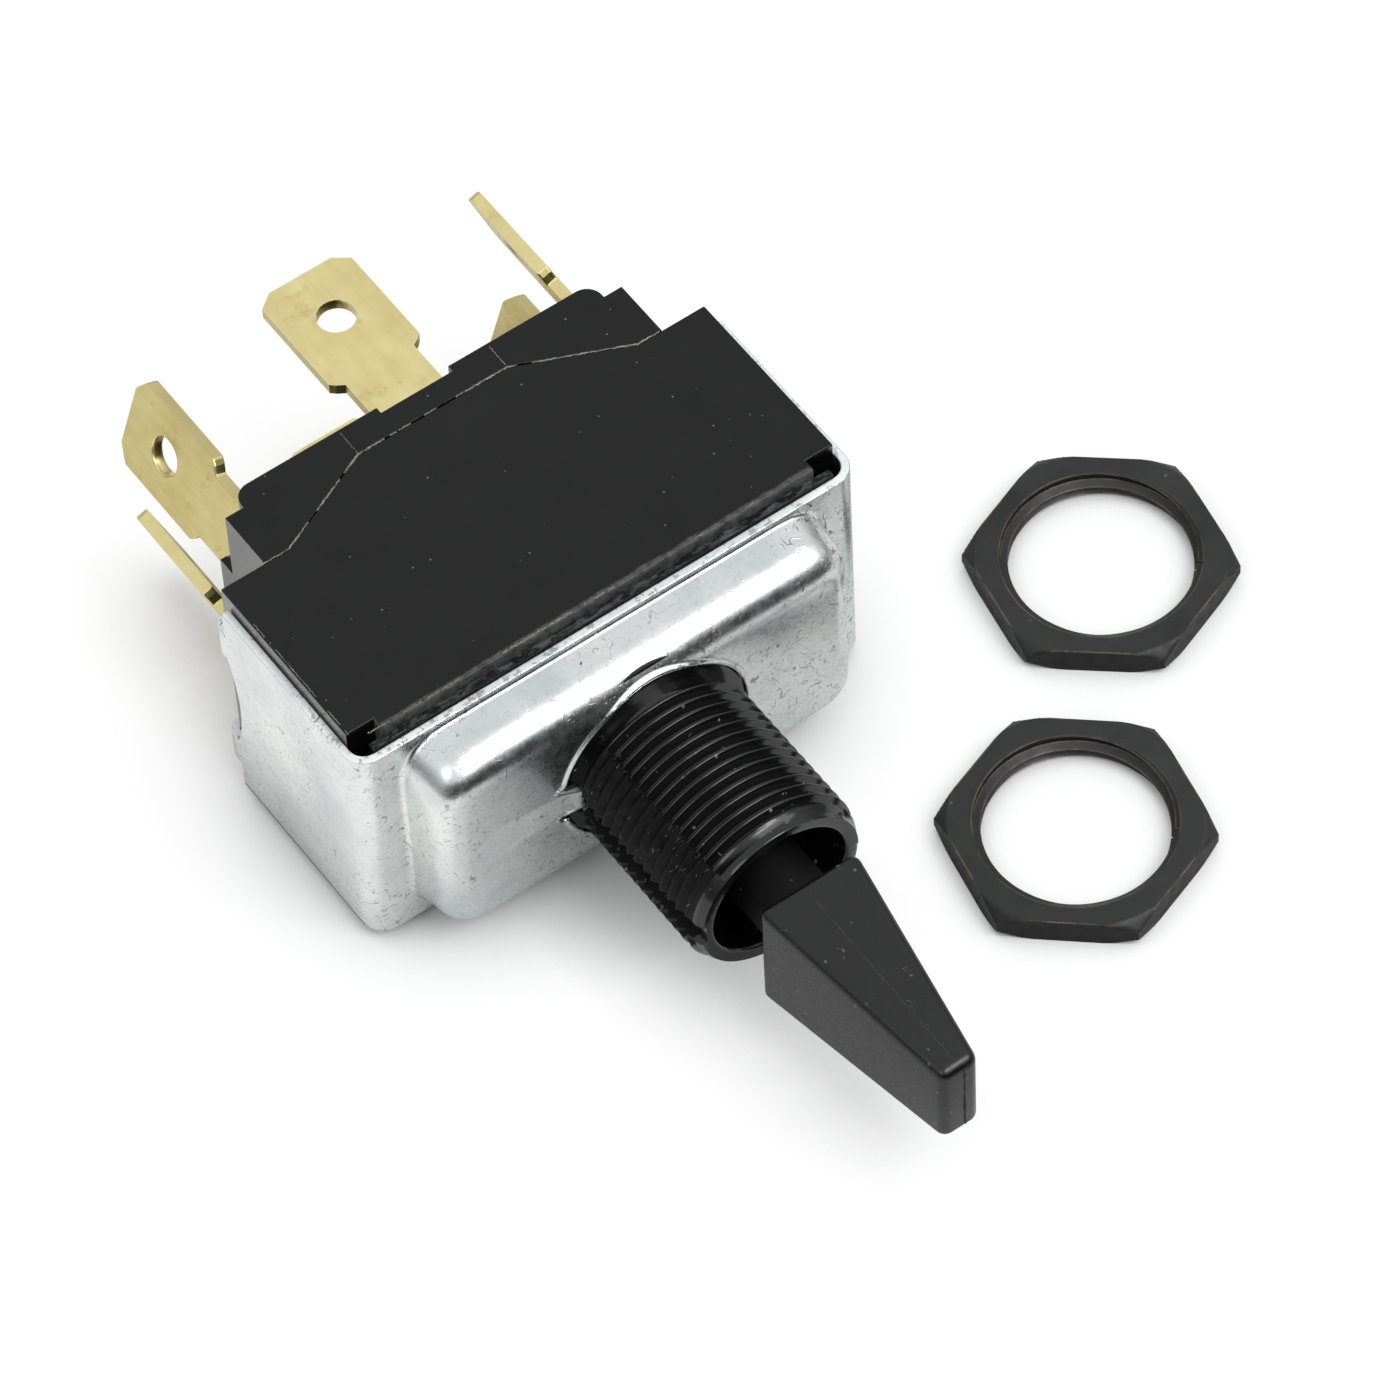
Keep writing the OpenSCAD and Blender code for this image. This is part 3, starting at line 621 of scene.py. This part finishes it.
def on_roll(a, number):
    """A ring on the rolled edge, kept clear of the hole where the two come close."""
    y = ROLL_R * (1 - math.cos(math.radians(ROLL_TURNS[number])))
    reach = outline_reach(a, *contour(y))
    least = 0.5 + 0.1 * (number + 1)
    if reach < hole_reach(a) + least:
        return near_hole(a, least)
    return reach, y


def foot_radius(a):
    """Radius of the concave foot, which grows towards the short ends."""
    end = outline_reach(a, *contour(FLANGE_Y)) * abs(math.cos(a))
    return FOOT_R + FOOT_GROWTH * smooth_step(end, BASE_HALF[0] - FOOT_BLEND, BASE_HALF[0])


def on_wall(a, share):
    y = ROLL_R + (FLANGE_Y - foot_radius(a) - ROLL_R) * share
    return outline_reach(a, *contour(y)), y


def on_foot(a, degrees):
    turn = math.radians(degrees)
    foot = foot_radius(a)
    half_x, half_z, corner = contour(FLANGE_Y - foot)
    grow = foot * (1 - math.cos(turn))
    reach = outline_reach(a, half_x + grow, half_z + grow, corner + grow)
    return reach, FLANGE_Y - foot * (1 - math.sin(turn))


def bracket_rings(angles):
    """Rings from the hole's lip over the face, the roll, the wall and its foot to the flange."""
    places = [(near_hole, values) for values in LIP]
    places += [(on_roll, (number,)) for number in range(len(ROLL_TURNS))]
    places += [(on_wall, (share,)) for share in (0.4, 0.8)]
    places += [(on_foot, (degrees,)) for degrees in range(0, 91, 18)]
    places.append((lambda a: (flange_reach(a), FLANGE_Y), ()))
    rings = []
    for place, values in places:
        ring = []
        for a in angles:
            reach, y = place(a, *values)
            ring.append((reach * math.cos(a), y, reach * math.sin(a)))
        rings.append(ring)
    return rings


# Each of these gives x and y at a share t of the way along its strip, at a height z. They take
# the same values, though only the plate's back edge changes with z.

def fold(t, z):
    turn = t * math.pi / 2
    return (SIDE_X - FOLD_R + FOLD_R * math.sin(turn),
            FLANGE_Y + FOLD_R - FOLD_R * math.cos(turn))


def plate(t, z):
    """The side plate, whose back edge is hollowed between the ears."""
    start = FLANGE_Y + FOLD_R
    back = SIDE_BACK_Y
    if abs(z) < EAR_Z[0] - 1e-4:
        back = SIDE_BACK_Y - HOLLOW + HOLLOW_R - math.sqrt(HOLLOW_R ** 2 - z * z)
    return SIDE_X, start + (back - start) * t


def ear_root(t, z):
    return SIDE_X, SIDE_BACK_Y + (EAR_BACK_Y - EAR_BEND_R - SIDE_BACK_Y) * t


def ear_bend(t, z):
    turn = t * math.pi / 2
    return (SIDE_X - EAR_BEND_R + EAR_BEND_R * math.cos(turn),
            EAR_BACK_Y - EAR_BEND_R + EAR_BEND_R * math.sin(turn))


def ear_tip(t, z):
    start = SIDE_X - EAR_BEND_R
    return start + (EAR_END_X - start) * t, EAR_BACK_Y


def add_strip(verts, faces, side, edge, heights, place, steps):
    """Carries an edge of the sheet on along place(t, z), and returns the new edge."""
    for step in range(1, steps + 1):
        row = []
        for z in heights:
            x, y = place(step / steps, z)
            row.append(len(verts))
            verts.append((side * x, y, z))
        for j in range(len(row) - 1):
            faces.append((edge[j], edge[j + 1], row[j + 1], row[j]))
        edge = row
    return edge


def add_side(verts, faces, side, edge):
    """One fold, its side plate and the two ears behind it."""
    heights = [verts[k][2] for k in edge]
    edge = add_strip(verts, faces, side, edge, heights, fold, 7)
    edge = add_strip(verts, faces, side, edge, heights, plate, 6)
    for low, high in ((-EAR_Z[1], -EAR_Z[0]), EAR_Z):
        picked = [j for j, z in enumerate(heights) if low - 1e-3 <= z <= high + 1e-3]
        ends = [edge[j] for j in picked]
        levels = [heights[j] for j in picked]
        for place, steps in ((ear_root, 1), (ear_bend, 6), (ear_tip, 2)):
            ends = add_strip(verts, faces, side, ends, levels, place, steps)


def build_bracket():
    """The whole bracket as one surface, given its thickness by a modifier."""
    angles = bracket_angles()
    count = len(angles)
    rings = bracket_rings(angles)
    verts = [v for ring in rings for v in ring]
    faces = grid_faces(len(rings), count, close_columns=True)
    last = (len(rings) - 1) * count
    corner = math.atan2(EDGE_Z, SIDE_X - FOLD_R)
    for side, middle in ((1, 0.0), (-1, math.pi)):
        edge = []
        for j, angle in enumerate(angles):
            off = (angle - middle + math.pi) % (2 * math.pi) - math.pi
            if abs(off) <= corner + 1e-6:
                edge.append(last + j)
        edge.sort(key=lambda k: verts[k][2])
        add_side(verts, faces, side, edge)
    obj = make("bracket_sheet", verts, faces, "zinc", "base", ["bracket"], smooth=0,
               facing=(0, -1, 0))
    thick = obj.modifiers.new("sheet", "SOLIDIFY")
    thick.thickness = SHEET * MM
    thick.offset = -1
    thick.use_even_offset = True
    obj.data.materials.append(MATERIALS["cut_edge"])
    thick.material_offset_rim = 1
    bevel = add_bevel(obj, 0.1, 3, 55)
    bevel.use_clamp_overlap = False


build_bracket()


# ---------------------------------------------------------------- bushing

THREAD_R = 5.95
ROOT_R = 5.48
PITCH = 25.4 / 32
MOUTH_Y = -12.2
LEAD_R = 5.42
LEAD_LENGTH = 1.1
KEY_HALF = 0.9
KEY_X = 5.15
BORE_R = 4.1
COLLAR_R = 6.28
FLANGE_R = 7.2
FLANGE_BACK_Y = 2.95
# the parting line's angle; past it the teeth are blunt and set back, as far as the keyway
PARTING = math.radians(132)
BLUNT_END = 3.45
SHIFT_END = 3.4
# one turn of the thread: share of the pitch, and height from root to crest
THREAD_FORM = ((0.0, 0.0), (0.03, 0.0), (0.393, 0.9), (0.419, 0.95), (0.457, 0.987), (0.5, 1.0),
               (0.543, 0.987), (0.581, 0.95), (0.607, 0.9), (0.97, 0.0))
# the rounded lip of the mouth and its flare: radius, and depth behind the mouth
MOUTH_FORM = ((5.3, 0.0), (4.82, 0.0), (4.72, 0.02), (4.64, 0.07), (4.59, 0.16), (4.56, 0.3))


def ring_angles(count):
    """Angles round the bushing, with close pairs at the keyway's walls and the parting line."""
    wall = math.asin(KEY_HALF / THREAD_R)
    angles = {2 * math.pi * i / count for i in range(count)}
    for place in (math.pi - wall, math.pi + wall, PARTING):
        for nudge in (-0.006, 0.006):
            angles.add(place + nudge)
    return sorted(angles)


def keyed(radius, angle):
    """The radius, cut down to the floor of the keyway on the -X side."""
    if math.cos(angle) < 0 and abs(math.sin(angle)) * THREAD_R < KEY_HALF + 0.001:
        return min(radius, KEY_X / abs(math.cos(angle)))
    return radius


def thread_radius(height, angle, y):
    """Radius at a height between root and crest; blunt and ragged past the parting line."""
    blunt = smooth_step(angle, PARTING - 0.01, PARTING + 0.01) * (1 - smooth_step(angle, 3.3, 3.5))
    x, z = math.cos(angle) * THREAD_R, math.sin(angle) * THREAD_R
    ragged = flutter(x, y, z, 1.3) + 0.6 * flutter(x, y, z + 9.0, 3.2)
    dull_height = min(max(height * 0.95 + 0.3 * ragged, 0.0), 0.95)
    smooth_end = smooth_step(-y, 10.6, 11.2)
    sharp = ROOT_R + (THREAD_R - ROOT_R) * height
    dull = ROOT_R + 0.12 + (THREAD_R - ROOT_R - 0.14) * dull_height * (1 - 0.8 * smooth_end)
    return sharp + (dull - sharp) * blunt


def thread_point(turn, part, height, angle):
    """A point of the helix, cut by the lead at the mouth, the runout at the seat and the keyway."""
    y = MOUTH_Y + PITCH * (turn + part + 0.22 + angle / (2 * math.pi))
    if PARTING < angle < SHIFT_END:
        y += 0.3 * PITCH
    lead = LEAD_R + max(0.0, y - MOUTH_Y) * (THREAD_R - LEAD_R) / LEAD_LENGTH
    r = min(thread_radius(height, angle, y), lead)
    r = ROOT_R + (r - ROOT_R) * smooth_step(-y, 0.45, 1.0)
    r = keyed(r, angle)
    return r * math.cos(angle), min(max(y, MOUTH_Y), 0.0), r * math.sin(angle)


def build_bushing():
    """Bore, mouth, thread, collar, flange and back as one closed surface."""
    angles = ring_angles(180)

    def ring(radius, y, cut=True):
        radii = [keyed(radius, a) if cut else radius for a in angles]
        return [(r * math.cos(a), y, r * math.sin(a)) for r, a in zip(radii, angles)]

    rows = [ring(BORE_R, y) for y in (FLANGE_BACK_Y, -5.0, -9.5)]
    rows += [ring(r, MOUTH_Y + depth) for r, depth in reversed(MOUTH_FORM)]
    for turn in range(-1, int(-MOUTH_Y / PITCH) + 3):
        for part, height in THREAD_FORM:
            rows.append([thread_point(turn, part, height, a) for a in angles])
    rows += [ring(COLLAR_R, 0.02), ring(COLLAR_R, 0.55)]
    rows += [ring(FLANGE_R, 0.62, False), ring(FLANGE_R, FLANGE_BACK_Y, False)]
    rows.append(ring(BORE_R, FLANGE_BACK_Y))
    verts = [v for row in rows for v in row]
    faces = grid_faces(len(rows), len(angles), close_rows=True, close_columns=True)
    obj = make("threaded_bushing", verts, faces, "black_nylon", "base", ["bushing"], 42)
    obj.data.materials.append(MATERIALS["torn_nylon"])
    for face in obj.data.polygons:
        angle = math.atan2(face.center.z, face.center.x) % (2 * math.pi)
        if PARTING < angle < BLUNT_END and MOUTH_Y + 0.8 < face.center.y / MM < -0.6:
            face.material_index = 1


def add_chip(verts, faces, angle, y, length, width, lift, lean):
    """A thin curled splinter that stands off the thread."""
    base = len(verts)
    steps = 4
    for k in range(steps + 1):
        t = k / steps
        w = width * (1 - 0.8 * t)
        r = THREAD_R - 0.16 + lift * math.sin(t * math.pi)
        a = angle + t * length * math.cos(lean) / THREAD_R
        middle = y + t * length * math.sin(lean)
        for out, along in ((0, -w), (0.03, 0), (0, w), (-0.03, 0)):
            reach = min(r + out, THREAD_R + 0.04)
            depth = min(max(middle + along, MOUTH_Y + 0.3), -0.6)
            verts.append((reach * math.cos(a), depth, reach * math.sin(a)))
    for k in range(steps):
        a, b = base + 4 * k, base + 4 * (k + 1)
        for m in range(4):
            n = (m + 1) % 4
            faces.append((a + m, a + n, b + n, b + m))
    end = base + 4 * steps
    faces.append((base + 3, base + 2, base + 1, base))
    faces.append((end, end + 1, end + 2, end + 3))


def build_flash():
    """Frayed flash along the parting line, and torn chips between it and the keyway."""
    rng = random.Random(7)
    verts, faces = [], []

    def chip(angle, y, length, width, lift):
        add_chip(verts, faces, angle, y, length, width, lift, rng.uniform(-0.5, 0.5))

    for _ in range(26):
        chip(PARTING + rng.uniform(-0.04, 0.05), rng.uniform(-11.6, -1.0),
             rng.uniform(0.1, 0.4), rng.uniform(0.012, 0.035), rng.uniform(0.04, 0.14))
    for _ in range(24):
        chip(rng.uniform(PARTING + 0.12, math.pi - 0.05), rng.uniform(-11.3, -1.0),
             rng.uniform(0.12, 0.4), rng.uniform(0.012, 0.03), rng.uniform(0.04, 0.14))
    make("thread_flash", verts, faces, "flash", "base", ["bushing"], 0)


build_bushing()
build_flash()


# ---------------------------------------------------------------- lever

# half width and upper height of the paddle at its root and tip, and how far it reaches below
ROOT_Y, TIP_Y = -14.8, -29.2
ROOT_HALF = (3.45, 4.15)
TIP_HALF = (1.25, 2.6)
ROOT_LOW, TIP_LOW = 4.5, 3.8
PADDLE_EDGE_R = 0.6
TIP_FLASH_X = 0.25
STEM_R = 2.4
STEM_Y = (-15.6, -8.2)
PIVOT_Y = -5
BALL_R = 3.95
BALL_BACK_Y = -1.2
TAIL_HALF = (1.3, 2.0)
TAIL_Y = (-3, 8.65)


def build_paddle():
    """A wedge with rounded edges."""
    bm = bmesh.new()
    corners = []
    for y, (hx, top), low in ((ROOT_Y, ROOT_HALF, ROOT_LOW), (TIP_Y, TIP_HALF, TIP_LOW)):
        for x, z in ((-hx, -low), (hx, -low), (hx, top), (-hx, top)):
            corners.append(bm.verts.new(Vector((x, y, z)) * MM))
    bm.faces.new(corners[:4])
    bm.faces.new(corners[7:3:-1])
    for k in range(4):
        m = (k + 1) % 4
        bm.faces.new((corners[k], corners[k + 4], corners[m + 4], corners[m]))
    bmesh.ops.recalc_face_normals(bm, faces=bm.faces)
    bmesh.ops.bevel(bm, geom=bm.edges[:], offset=PADDLE_EDGE_R * MM, segments=6, profile=0.5,
                    affect="EDGES", clamp_overlap=True)
    mesh = bpy.data.meshes.new("lever_paddle")
    bm.to_mesh(mesh)
    bm.free()
    obj = add_object("lever_paddle", mesh)
    mesh.materials.append(MATERIALS["lever_nylon"])
    mesh.shade_smooth()
    mesh.set_sharp_from_angle(angle=math.radians(40))
    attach(obj, "lever")
    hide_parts("lever")


def build_stem():
    """Stem and ball as one turned form."""
    profile = [(0, STEM_Y[0]), (STEM_R, STEM_Y[0]), (STEM_R, STEM_Y[1])]
    for k in range(13):
        a = math.radians(-52 + k * 11)
        profile.append((BALL_R * math.cos(a), PIVOT_Y + BALL_R * math.sin(a)))
    profile.append((0, BALL_BACK_Y))
    angles = [2 * math.pi * i / 48 for i in range(48)]
    verts = [(r * math.cos(a), y, r * math.sin(a)) for r, y in profile for a in angles]
    faces = grid_faces(len(profile), len(angles), close_columns=True)
    make("lever_stem", verts, faces, "stem_nylon", "lever", ["lever"], 40)


def build_tail():
    hx, hz = TAIL_HALF
    verts = [(x, y, z) for y in TAIL_Y for x, z in ((-hx, -hz), (hx, -hz), (hx, hz), (-hx, hz))]
    faces = [(0, 1, 2, 3), (7, 6, 5, 4)]
    faces += [(k, k + 4, (k + 1) % 4 + 4, (k + 1) % 4) for k in range(4)]
    tail = make("lever_tail", verts, faces, "lever_nylon", "lever", ["lever"])
    add_bevel(tail, 0.2)


def ridge_faces(start, steps):
    """Faces of a ridge with a three-cornered section, whose rows of three follow from start."""
    faces = []
    for k in range(steps):
        a, b = start + 3 * k, start + 3 * (k + 1)
        faces += [(a, a + 1, b + 1, b), (a + 1, a + 2, b + 2, b + 1), (a + 2, a, b, b + 2)]
    end = start + 3 * steps
    return faces + [(start + 2, start + 1, start), (end, end + 1, end + 2)]


def build_mould_line():
    """The thin witness line along the paddle's upper face, and the flash down its tip."""
    rng = random.Random(5)
    verts = []
    steps = 60
    for k in range(steps + 1):
        t = 0.045 + 0.91 * k / steps
        y = ROOT_Y + (TIP_Y - ROOT_Y) * t
        z = ROOT_HALF[1] + (TIP_HALF[1] - ROOT_HALF[1]) * t
        x = -0.42 * (1 - t) + 0.03 * flutter(0, y, 0, 0.8)
        w = 0.035 + 0.015 * flutter(3, y, 0, 2.0)
        verts += [(x - w, y, z - 0.01), (x, y, z + 0.022), (x + w, y, z - 0.01)]
    start = len(verts)
    drops = 26
    for k in range(drops + 1):
        z = TIP_HALF[1] - 0.5 - (TIP_HALF[1] + TIP_LOW - 1.0) * (k / drops)
        x = TIP_FLASH_X + 0.05 * flutter(0, 0, z, 1.1)
        w = 0.05 + 0.03 * rng.random()
        out = 0.05 + 0.09 * rng.random()
        verts += [(x - w, TIP_Y + 0.02, z), (x, TIP_Y - out, z), (x + w, TIP_Y + 0.02, z)]
    faces = ridge_faces(0, steps) + ridge_faces(start, drops)
    make("mould_line", verts, faces, "witness", "lever", ["lever"], 0)


build_paddle()
build_stem()
build_tail()
build_mould_line()


# ---------------------------------------------------------------- housing seam

HOUSING_TOP = 9.45
FRONT_SEAM_Y = 4.9
SIDE_SEAM_X = 16.7
BACK_Y = 18.2
BOARD_X = 13.85
BOARD_END_Y = 23.4
TONGUE_ROOT_X, TONGUE_END_X, TONGUE_REACH = 12.2, 5.2, 3.2


def seam_points(path):
    """Points about 0.12 mm apart along a path, each with the direction across it."""
    points = []
    for (x0, y0), (x1, y1) in zip(path, path[1:]):
        length = math.hypot(x1 - x0, y1 - y0)
        steps = max(2, int(length / 0.12))
        for k in range(steps):
            t = k / steps
            points.append((x0 + (x1 - x0) * t, y0 + (y1 - y0) * t,
                           (y0 - y1) / length, (x1 - x0) / length))
    return points


def build_seams():
    """Pale ragged flash round the tongue, along the housing's edges and on two knit lines."""
    rng = random.Random(11)
    verts, faces = [], []

    def ribbon(path, width, broken):
        """A low ridge on the wide face, left out where its noise is under broken."""
        points = seam_points(path)
        for here, there in zip(points, points[1:]):
            strength = 0.5 + flutter(here[0], here[1], 2.0, 0.55) + 0.4 * flutter(here[0], here[1], 5.0, 2.5)
            if strength < broken:
                continue
            base = len(verts)
            w = width * (0.55 + 0.7 * strength)
            lift = 0.02 + 0.02 * rng.random()
            for x, y, nx, ny in (here, there):
                j = rng.uniform(-0.03, 0.03)
                verts.append((x - nx * w + nx * j, y - ny * w + ny * j, HOUSING_TOP - 0.01))
                verts.append((x + nx * j, y + ny * j, HOUSING_TOP + lift))
                verts.append((x + nx * w + nx * j, y + ny * w + ny * j, HOUSING_TOP - 0.01))
            faces.extend([(base, base + 1, base + 4, base + 3), (base + 1, base + 2, base + 5, base + 4),
                          (base + 2, base, base + 3, base + 5), (base + 2, base + 1, base),
                          (base + 3, base + 4, base + 5)])

    end_y = BACK_Y + TONGUE_REACH
    outline = [(-BOARD_X, BACK_Y), (-TONGUE_ROOT_X, BACK_Y), (-TONGUE_END_X, end_y),
               (TONGUE_END_X, end_y), (TONGUE_ROOT_X, BACK_Y), (BOARD_X, BACK_Y)]
    ribbon(outline, 0.07, 0.2)
    ribbon([(-SIDE_SEAM_X + 0.8, FRONT_SEAM_Y), (SIDE_SEAM_X - 1.5, FRONT_SEAM_Y)], 0.05, 0.45)
    ribbon([(-SIDE_SEAM_X, FRONT_SEAM_Y + 0.6), (-SIDE_SEAM_X, BACK_Y - 0.7)], 0.035, 0.5)
    for x in (-TONGUE_END_X, TONGUE_END_X):
        ribbon([(x, end_y), (x, BOARD_END_Y)], 0.03, 0.0)
    make("seam_flash", verts, faces, "seam_dust", "base", smooth=0)


build_seams()


# ---------------------------------------------------------------- nuts

NUT_LOW, NUT_HIGH = FLOOR_Z, FLOOR_Z + 1.85
NUT_FLAT = 14.3 / 2
NUT_CORNER = NUT_FLAT / math.cos(math.pi / 6)
NUT_ROOT_R, NUT_CREST_R = 5.98, 5.52
NUT_RAYS = 180
# heights above each face at which the outside has a ring, and the thread's form in one turn
NUT_STEPS = (0.0, 0.03, 0.08, 0.16, 0.26, 0.36, 0.46, 0.58)
NUT_FORM = ((0.0, NUT_CREST_R), (0.12, NUT_CREST_R), (0.46, NUT_ROOT_R), (0.58, NUT_ROOT_R))


def nut_reach(a, edge):
    """The hexagon, cut by the two chamfer cones and slightly rolled at the faces."""
    hexagon = NUT_FLAT / math.cos(a % (math.pi / 3) - math.pi / 6)
    return min(hexagon, NUT_CORNER - 0.72 + edge * 1.25 - 0.08 * (1 - smooth_step(edge, 0.0, 0.1)))


def build_nut(index, centre, turn):
    """A chamfered hexagonal nut with a real thread in its hole."""
    angles = [2 * math.pi * i / NUT_RAYS for i in range(NUT_RAYS)]
    rows = []

    def add_ring(place):
        """place(angle) gives the radius and the height."""
        ring = []
        for a in angles:
            r, z = place(a)
            ring.append((r * math.cos(a), r * math.sin(a), z))
        rows.append(ring)

    def outside(a, z):
        return nut_reach(a, min(z - NUT_LOW, NUT_HIGH - z)), z

    def thread(a, turn_number, part, radius):
        z = NUT_LOW + PITCH * (turn_number + part + a / (2 * math.pi))
        z = min(max(z, NUT_LOW), NUT_HIGH)
        edge = min(z - NUT_LOW, NUT_HIGH - z)
        return max(radius, NUT_ROOT_R + 0.05 - edge * 1.2), z

    heights = [NUT_LOW + step for step in NUT_STEPS]
    heights += [NUT_HIGH - step for step in reversed(NUT_STEPS)]
    for z in heights:
        add_ring(lambda a: outside(a, z))
    for turn_number in range(4, -3, -1):
        for part, radius in reversed(NUT_FORM):
            add_ring(lambda a: thread(a, turn_number, part, radius))
    spin = Matrix.Rotation(math.radians(turn), 3, "Z")
    verts = [spin @ Vector(v) + Vector((centre[0], centre[1], 0)) for row in rows for v in row]
    faces = grid_faces(len(rows), NUT_RAYS, close_rows=True, close_columns=True)
    make("panel_nut_%d" % index, verts, faces, "black_oxide", "base",
         ["mounting_nut_%d" % index], 28)


build_nut(1, (32.0, 0.0), -40)
build_nut(2, (19.3, -14.3), -41)


# ---------------------------------------------------------------- stage and light

# floor, in metres: its half width, where it ends in front, and how far its shadow mask reaches
FLOOR_HALF, FLOOR_FRONT = 3.0, -0.07
SHADOW_REACH = 0.008
# the floor's glow for the camera, and its share of it for glossy and transmission rays
FLOOR_GLOW = 0.74
GLOW_STRENGTH = 1.16
GLOSSY_SHARE = 0.1
# a strip of floor that glows for glossy rays only, a painted reflection on the left side plate: its share
# and its soft ends in x and y
STRIP_SHARE = 1.1
STRIP_X = (-0.022, -0.0165)
STRIP_Y = (0.028, 0.034)
# the tent's level low down and overhead, and what its dark stretch in front lets through
SKY = (0.3, 0.9)
FRONT_SHADE = 0.05


def backdrop():
    """A white floor that ends in front like a table, and keeps the object's shadow."""
    z = FLOOR_Z * MM
    mesh = bpy.data.meshes.new("floor")
    mesh.from_pydata([(-FLOOR_HALF, FLOOR_FRONT, z), (FLOOR_HALF, FLOOR_FRONT, z),
                      (FLOOR_HALF, FLOOR_HALF, z), (-FLOOR_HALF, FLOOR_HALF, z)], [], [(0, 1, 2, 3)])
    floor = add_object("floor", mesh)
    s = Shader("floor")
    s.set(Base_Color=s.ramp(s.noise(3, 2), (0.3, (0.61, 0.61, 0.61)), (0.7, (0.63, 0.63, 0.63))),
          Roughness=0.9, Specular_IOR_Level=0.0)
    path = s.add("ShaderNodeLightPath")
    mirrored = s.most(path.outputs["Is Glossy Ray"], path.outputs["Is Transmission Ray"])
    # painted reflection: this strip of floor glows only where it is seen in reflections, and brightens the
    # left side plate
    strip = s.times(s.span(s.axis(0), *STRIP_X, STRIP_SHARE, 0.0), s.span(s.axis(1), *STRIP_Y, 1.0, 0.0))
    share = s.times(mirrored, s.most(strip, GLOSSY_SHARE))
    seen = s.most(path.outputs["Is Camera Ray"], share)
    # the glow fades where the object stands close, a painted shadow round the object
    open_sky = s.add("ShaderNodeAmbientOcclusion", samples=5)
    open_sky.inputs["Distance"].default_value = SHADOW_REACH
    clear = s.span(open_sky.outputs["AO"], 0.22, 1.0)
    glow = s.add("ShaderNodeEmission")
    glow.inputs["Strength"].default_value = GLOW_STRENGTH
    both = s.add("ShaderNodeMixShader")
    s.link(s.times(s.times(seen, FLOOR_GLOW), clear), both.inputs[0])
    s.link(s.bsdf.outputs[0], both.inputs[1])
    s.link(glow.outputs[0], both.inputs[2])
    s.link(both.outputs[0], s.out.inputs[0])
    mesh.materials.append(s.mat)


def area_light(name, direction, distance, size, radiance):
    """A softbox that faces the object and has a given brightness."""
    data = bpy.data.lights.new(name, "AREA")
    data.shape = "RECTANGLE"
    data.size, data.size_y = size
    data.energy = radiance * math.pi * size[0] * size[1]
    lamp = add_object(name, data)
    place = Vector(direction).normalized() * distance
    lamp.location = place
    lamp.rotation_euler = (-place).to_track_quat("-Z", "Y").to_euler()


def world():
    """A pale tent, brighter overhead, with a dark stretch low in front."""
    w = bpy.data.worlds.new("studio")
    bpy.context.scene.world = w
    w.use_nodes = True
    tree = w.node_tree
    tree.nodes.clear()

    def link(a, b):
        tree.links.new(a, b)

    def span(value, low, high, out_low, out_high):
        node = tree.nodes.new("ShaderNodeMapRange")
        node.interpolation_type = "SMOOTHSTEP"
        link(value, node.inputs[0])
        for k, limit in enumerate((low, high, out_low, out_high)):
            node.inputs[k + 1].default_value = limit
        return node.outputs[0]

    def multiply(a, b):
        node = tree.nodes.new("ShaderNodeMath")
        node.operation = "MULTIPLY"
        link(a, node.inputs[0])
        link(b, node.inputs[1])
        return node.outputs[0]

    coord = tree.nodes.new("ShaderNodeTexCoord")
    split = tree.nodes.new("ShaderNodeSeparateXYZ")
    link(coord.outputs["Generated"], split.inputs[0])
    level = span(split.outputs[2], 0.15, 0.65, *SKY)
    front = span(split.outputs[1], -0.75, -0.25, 1.0, 0.0)
    low = span(split.outputs[2], 0.3, 0.62, 1.0, 0.0)
    dark = span(multiply(front, low), 0.0, 1.0, 1.0, FRONT_SHADE)
    light = tree.nodes.new("ShaderNodeBackground")
    light.inputs[0].default_value = (0.98, 0.99, 1, 1)
    link(multiply(level, dark), light.inputs[1])
    white = tree.nodes.new("ShaderNodeBackground")
    white.inputs[0].default_value = (1, 1, 1, 1)
    path = tree.nodes.new("ShaderNodeLightPath")
    both = tree.nodes.new("ShaderNodeMixShader")
    out = tree.nodes.new("ShaderNodeOutputWorld")
    link(path.outputs["Is Camera Ray"], both.inputs[0])
    link(light.outputs[0], both.inputs[1])
    link(white.outputs[0], both.inputs[2])
    link(both.outputs[0], out.inputs[0])


backdrop()
world()
area_light("softbox", (0.31, -0.52, 0.78), 0.7, (0.6, 0.42), 2.0)
area_light("softbox_core", (0.2, -0.5, 0.8), 0.68, (0.36, 0.2), 6.5)
area_light("softbox_left", (-0.62, -0.3, 0.72), 0.7, (0.26, 0.26), 2.0)

# the photograph's view: where the camera aims, its turn round the object, and its distance
AIM = Vector((3.97, 1.165, 0.07)) * MM
AZIMUTH, ELEVATION, ROLL = (math.radians(degrees) for degrees in (-32.88, 54.68, -3.40))
DISTANCE = 0.466
SENSOR_WIDTH, FOCAL_LENGTH = 36, 209.04


def place_camera():
    camera = add_object("camera", bpy.data.cameras.new("camera"))
    bpy.context.scene.camera = camera
    out = Vector((math.sin(AZIMUTH) * math.cos(ELEVATION), -math.cos(AZIMUTH) * math.cos(ELEVATION),
                  math.sin(ELEVATION)))
    camera.location = AIM + out * DISTANCE
    turn = (-out).to_track_quat("-Z", "Y") @ Euler((0, 0, ROLL)).to_quaternion()
    camera.rotation_euler = turn.to_euler()
    camera.data.sensor_width = SENSOR_WIDTH
    camera.data.lens = FOCAL_LENGTH
    camera.data.clip_start = 0.05
    camera.data.clip_end = 20


place_camera()

bpy.context.scene.view_settings.view_transform = "Standard"
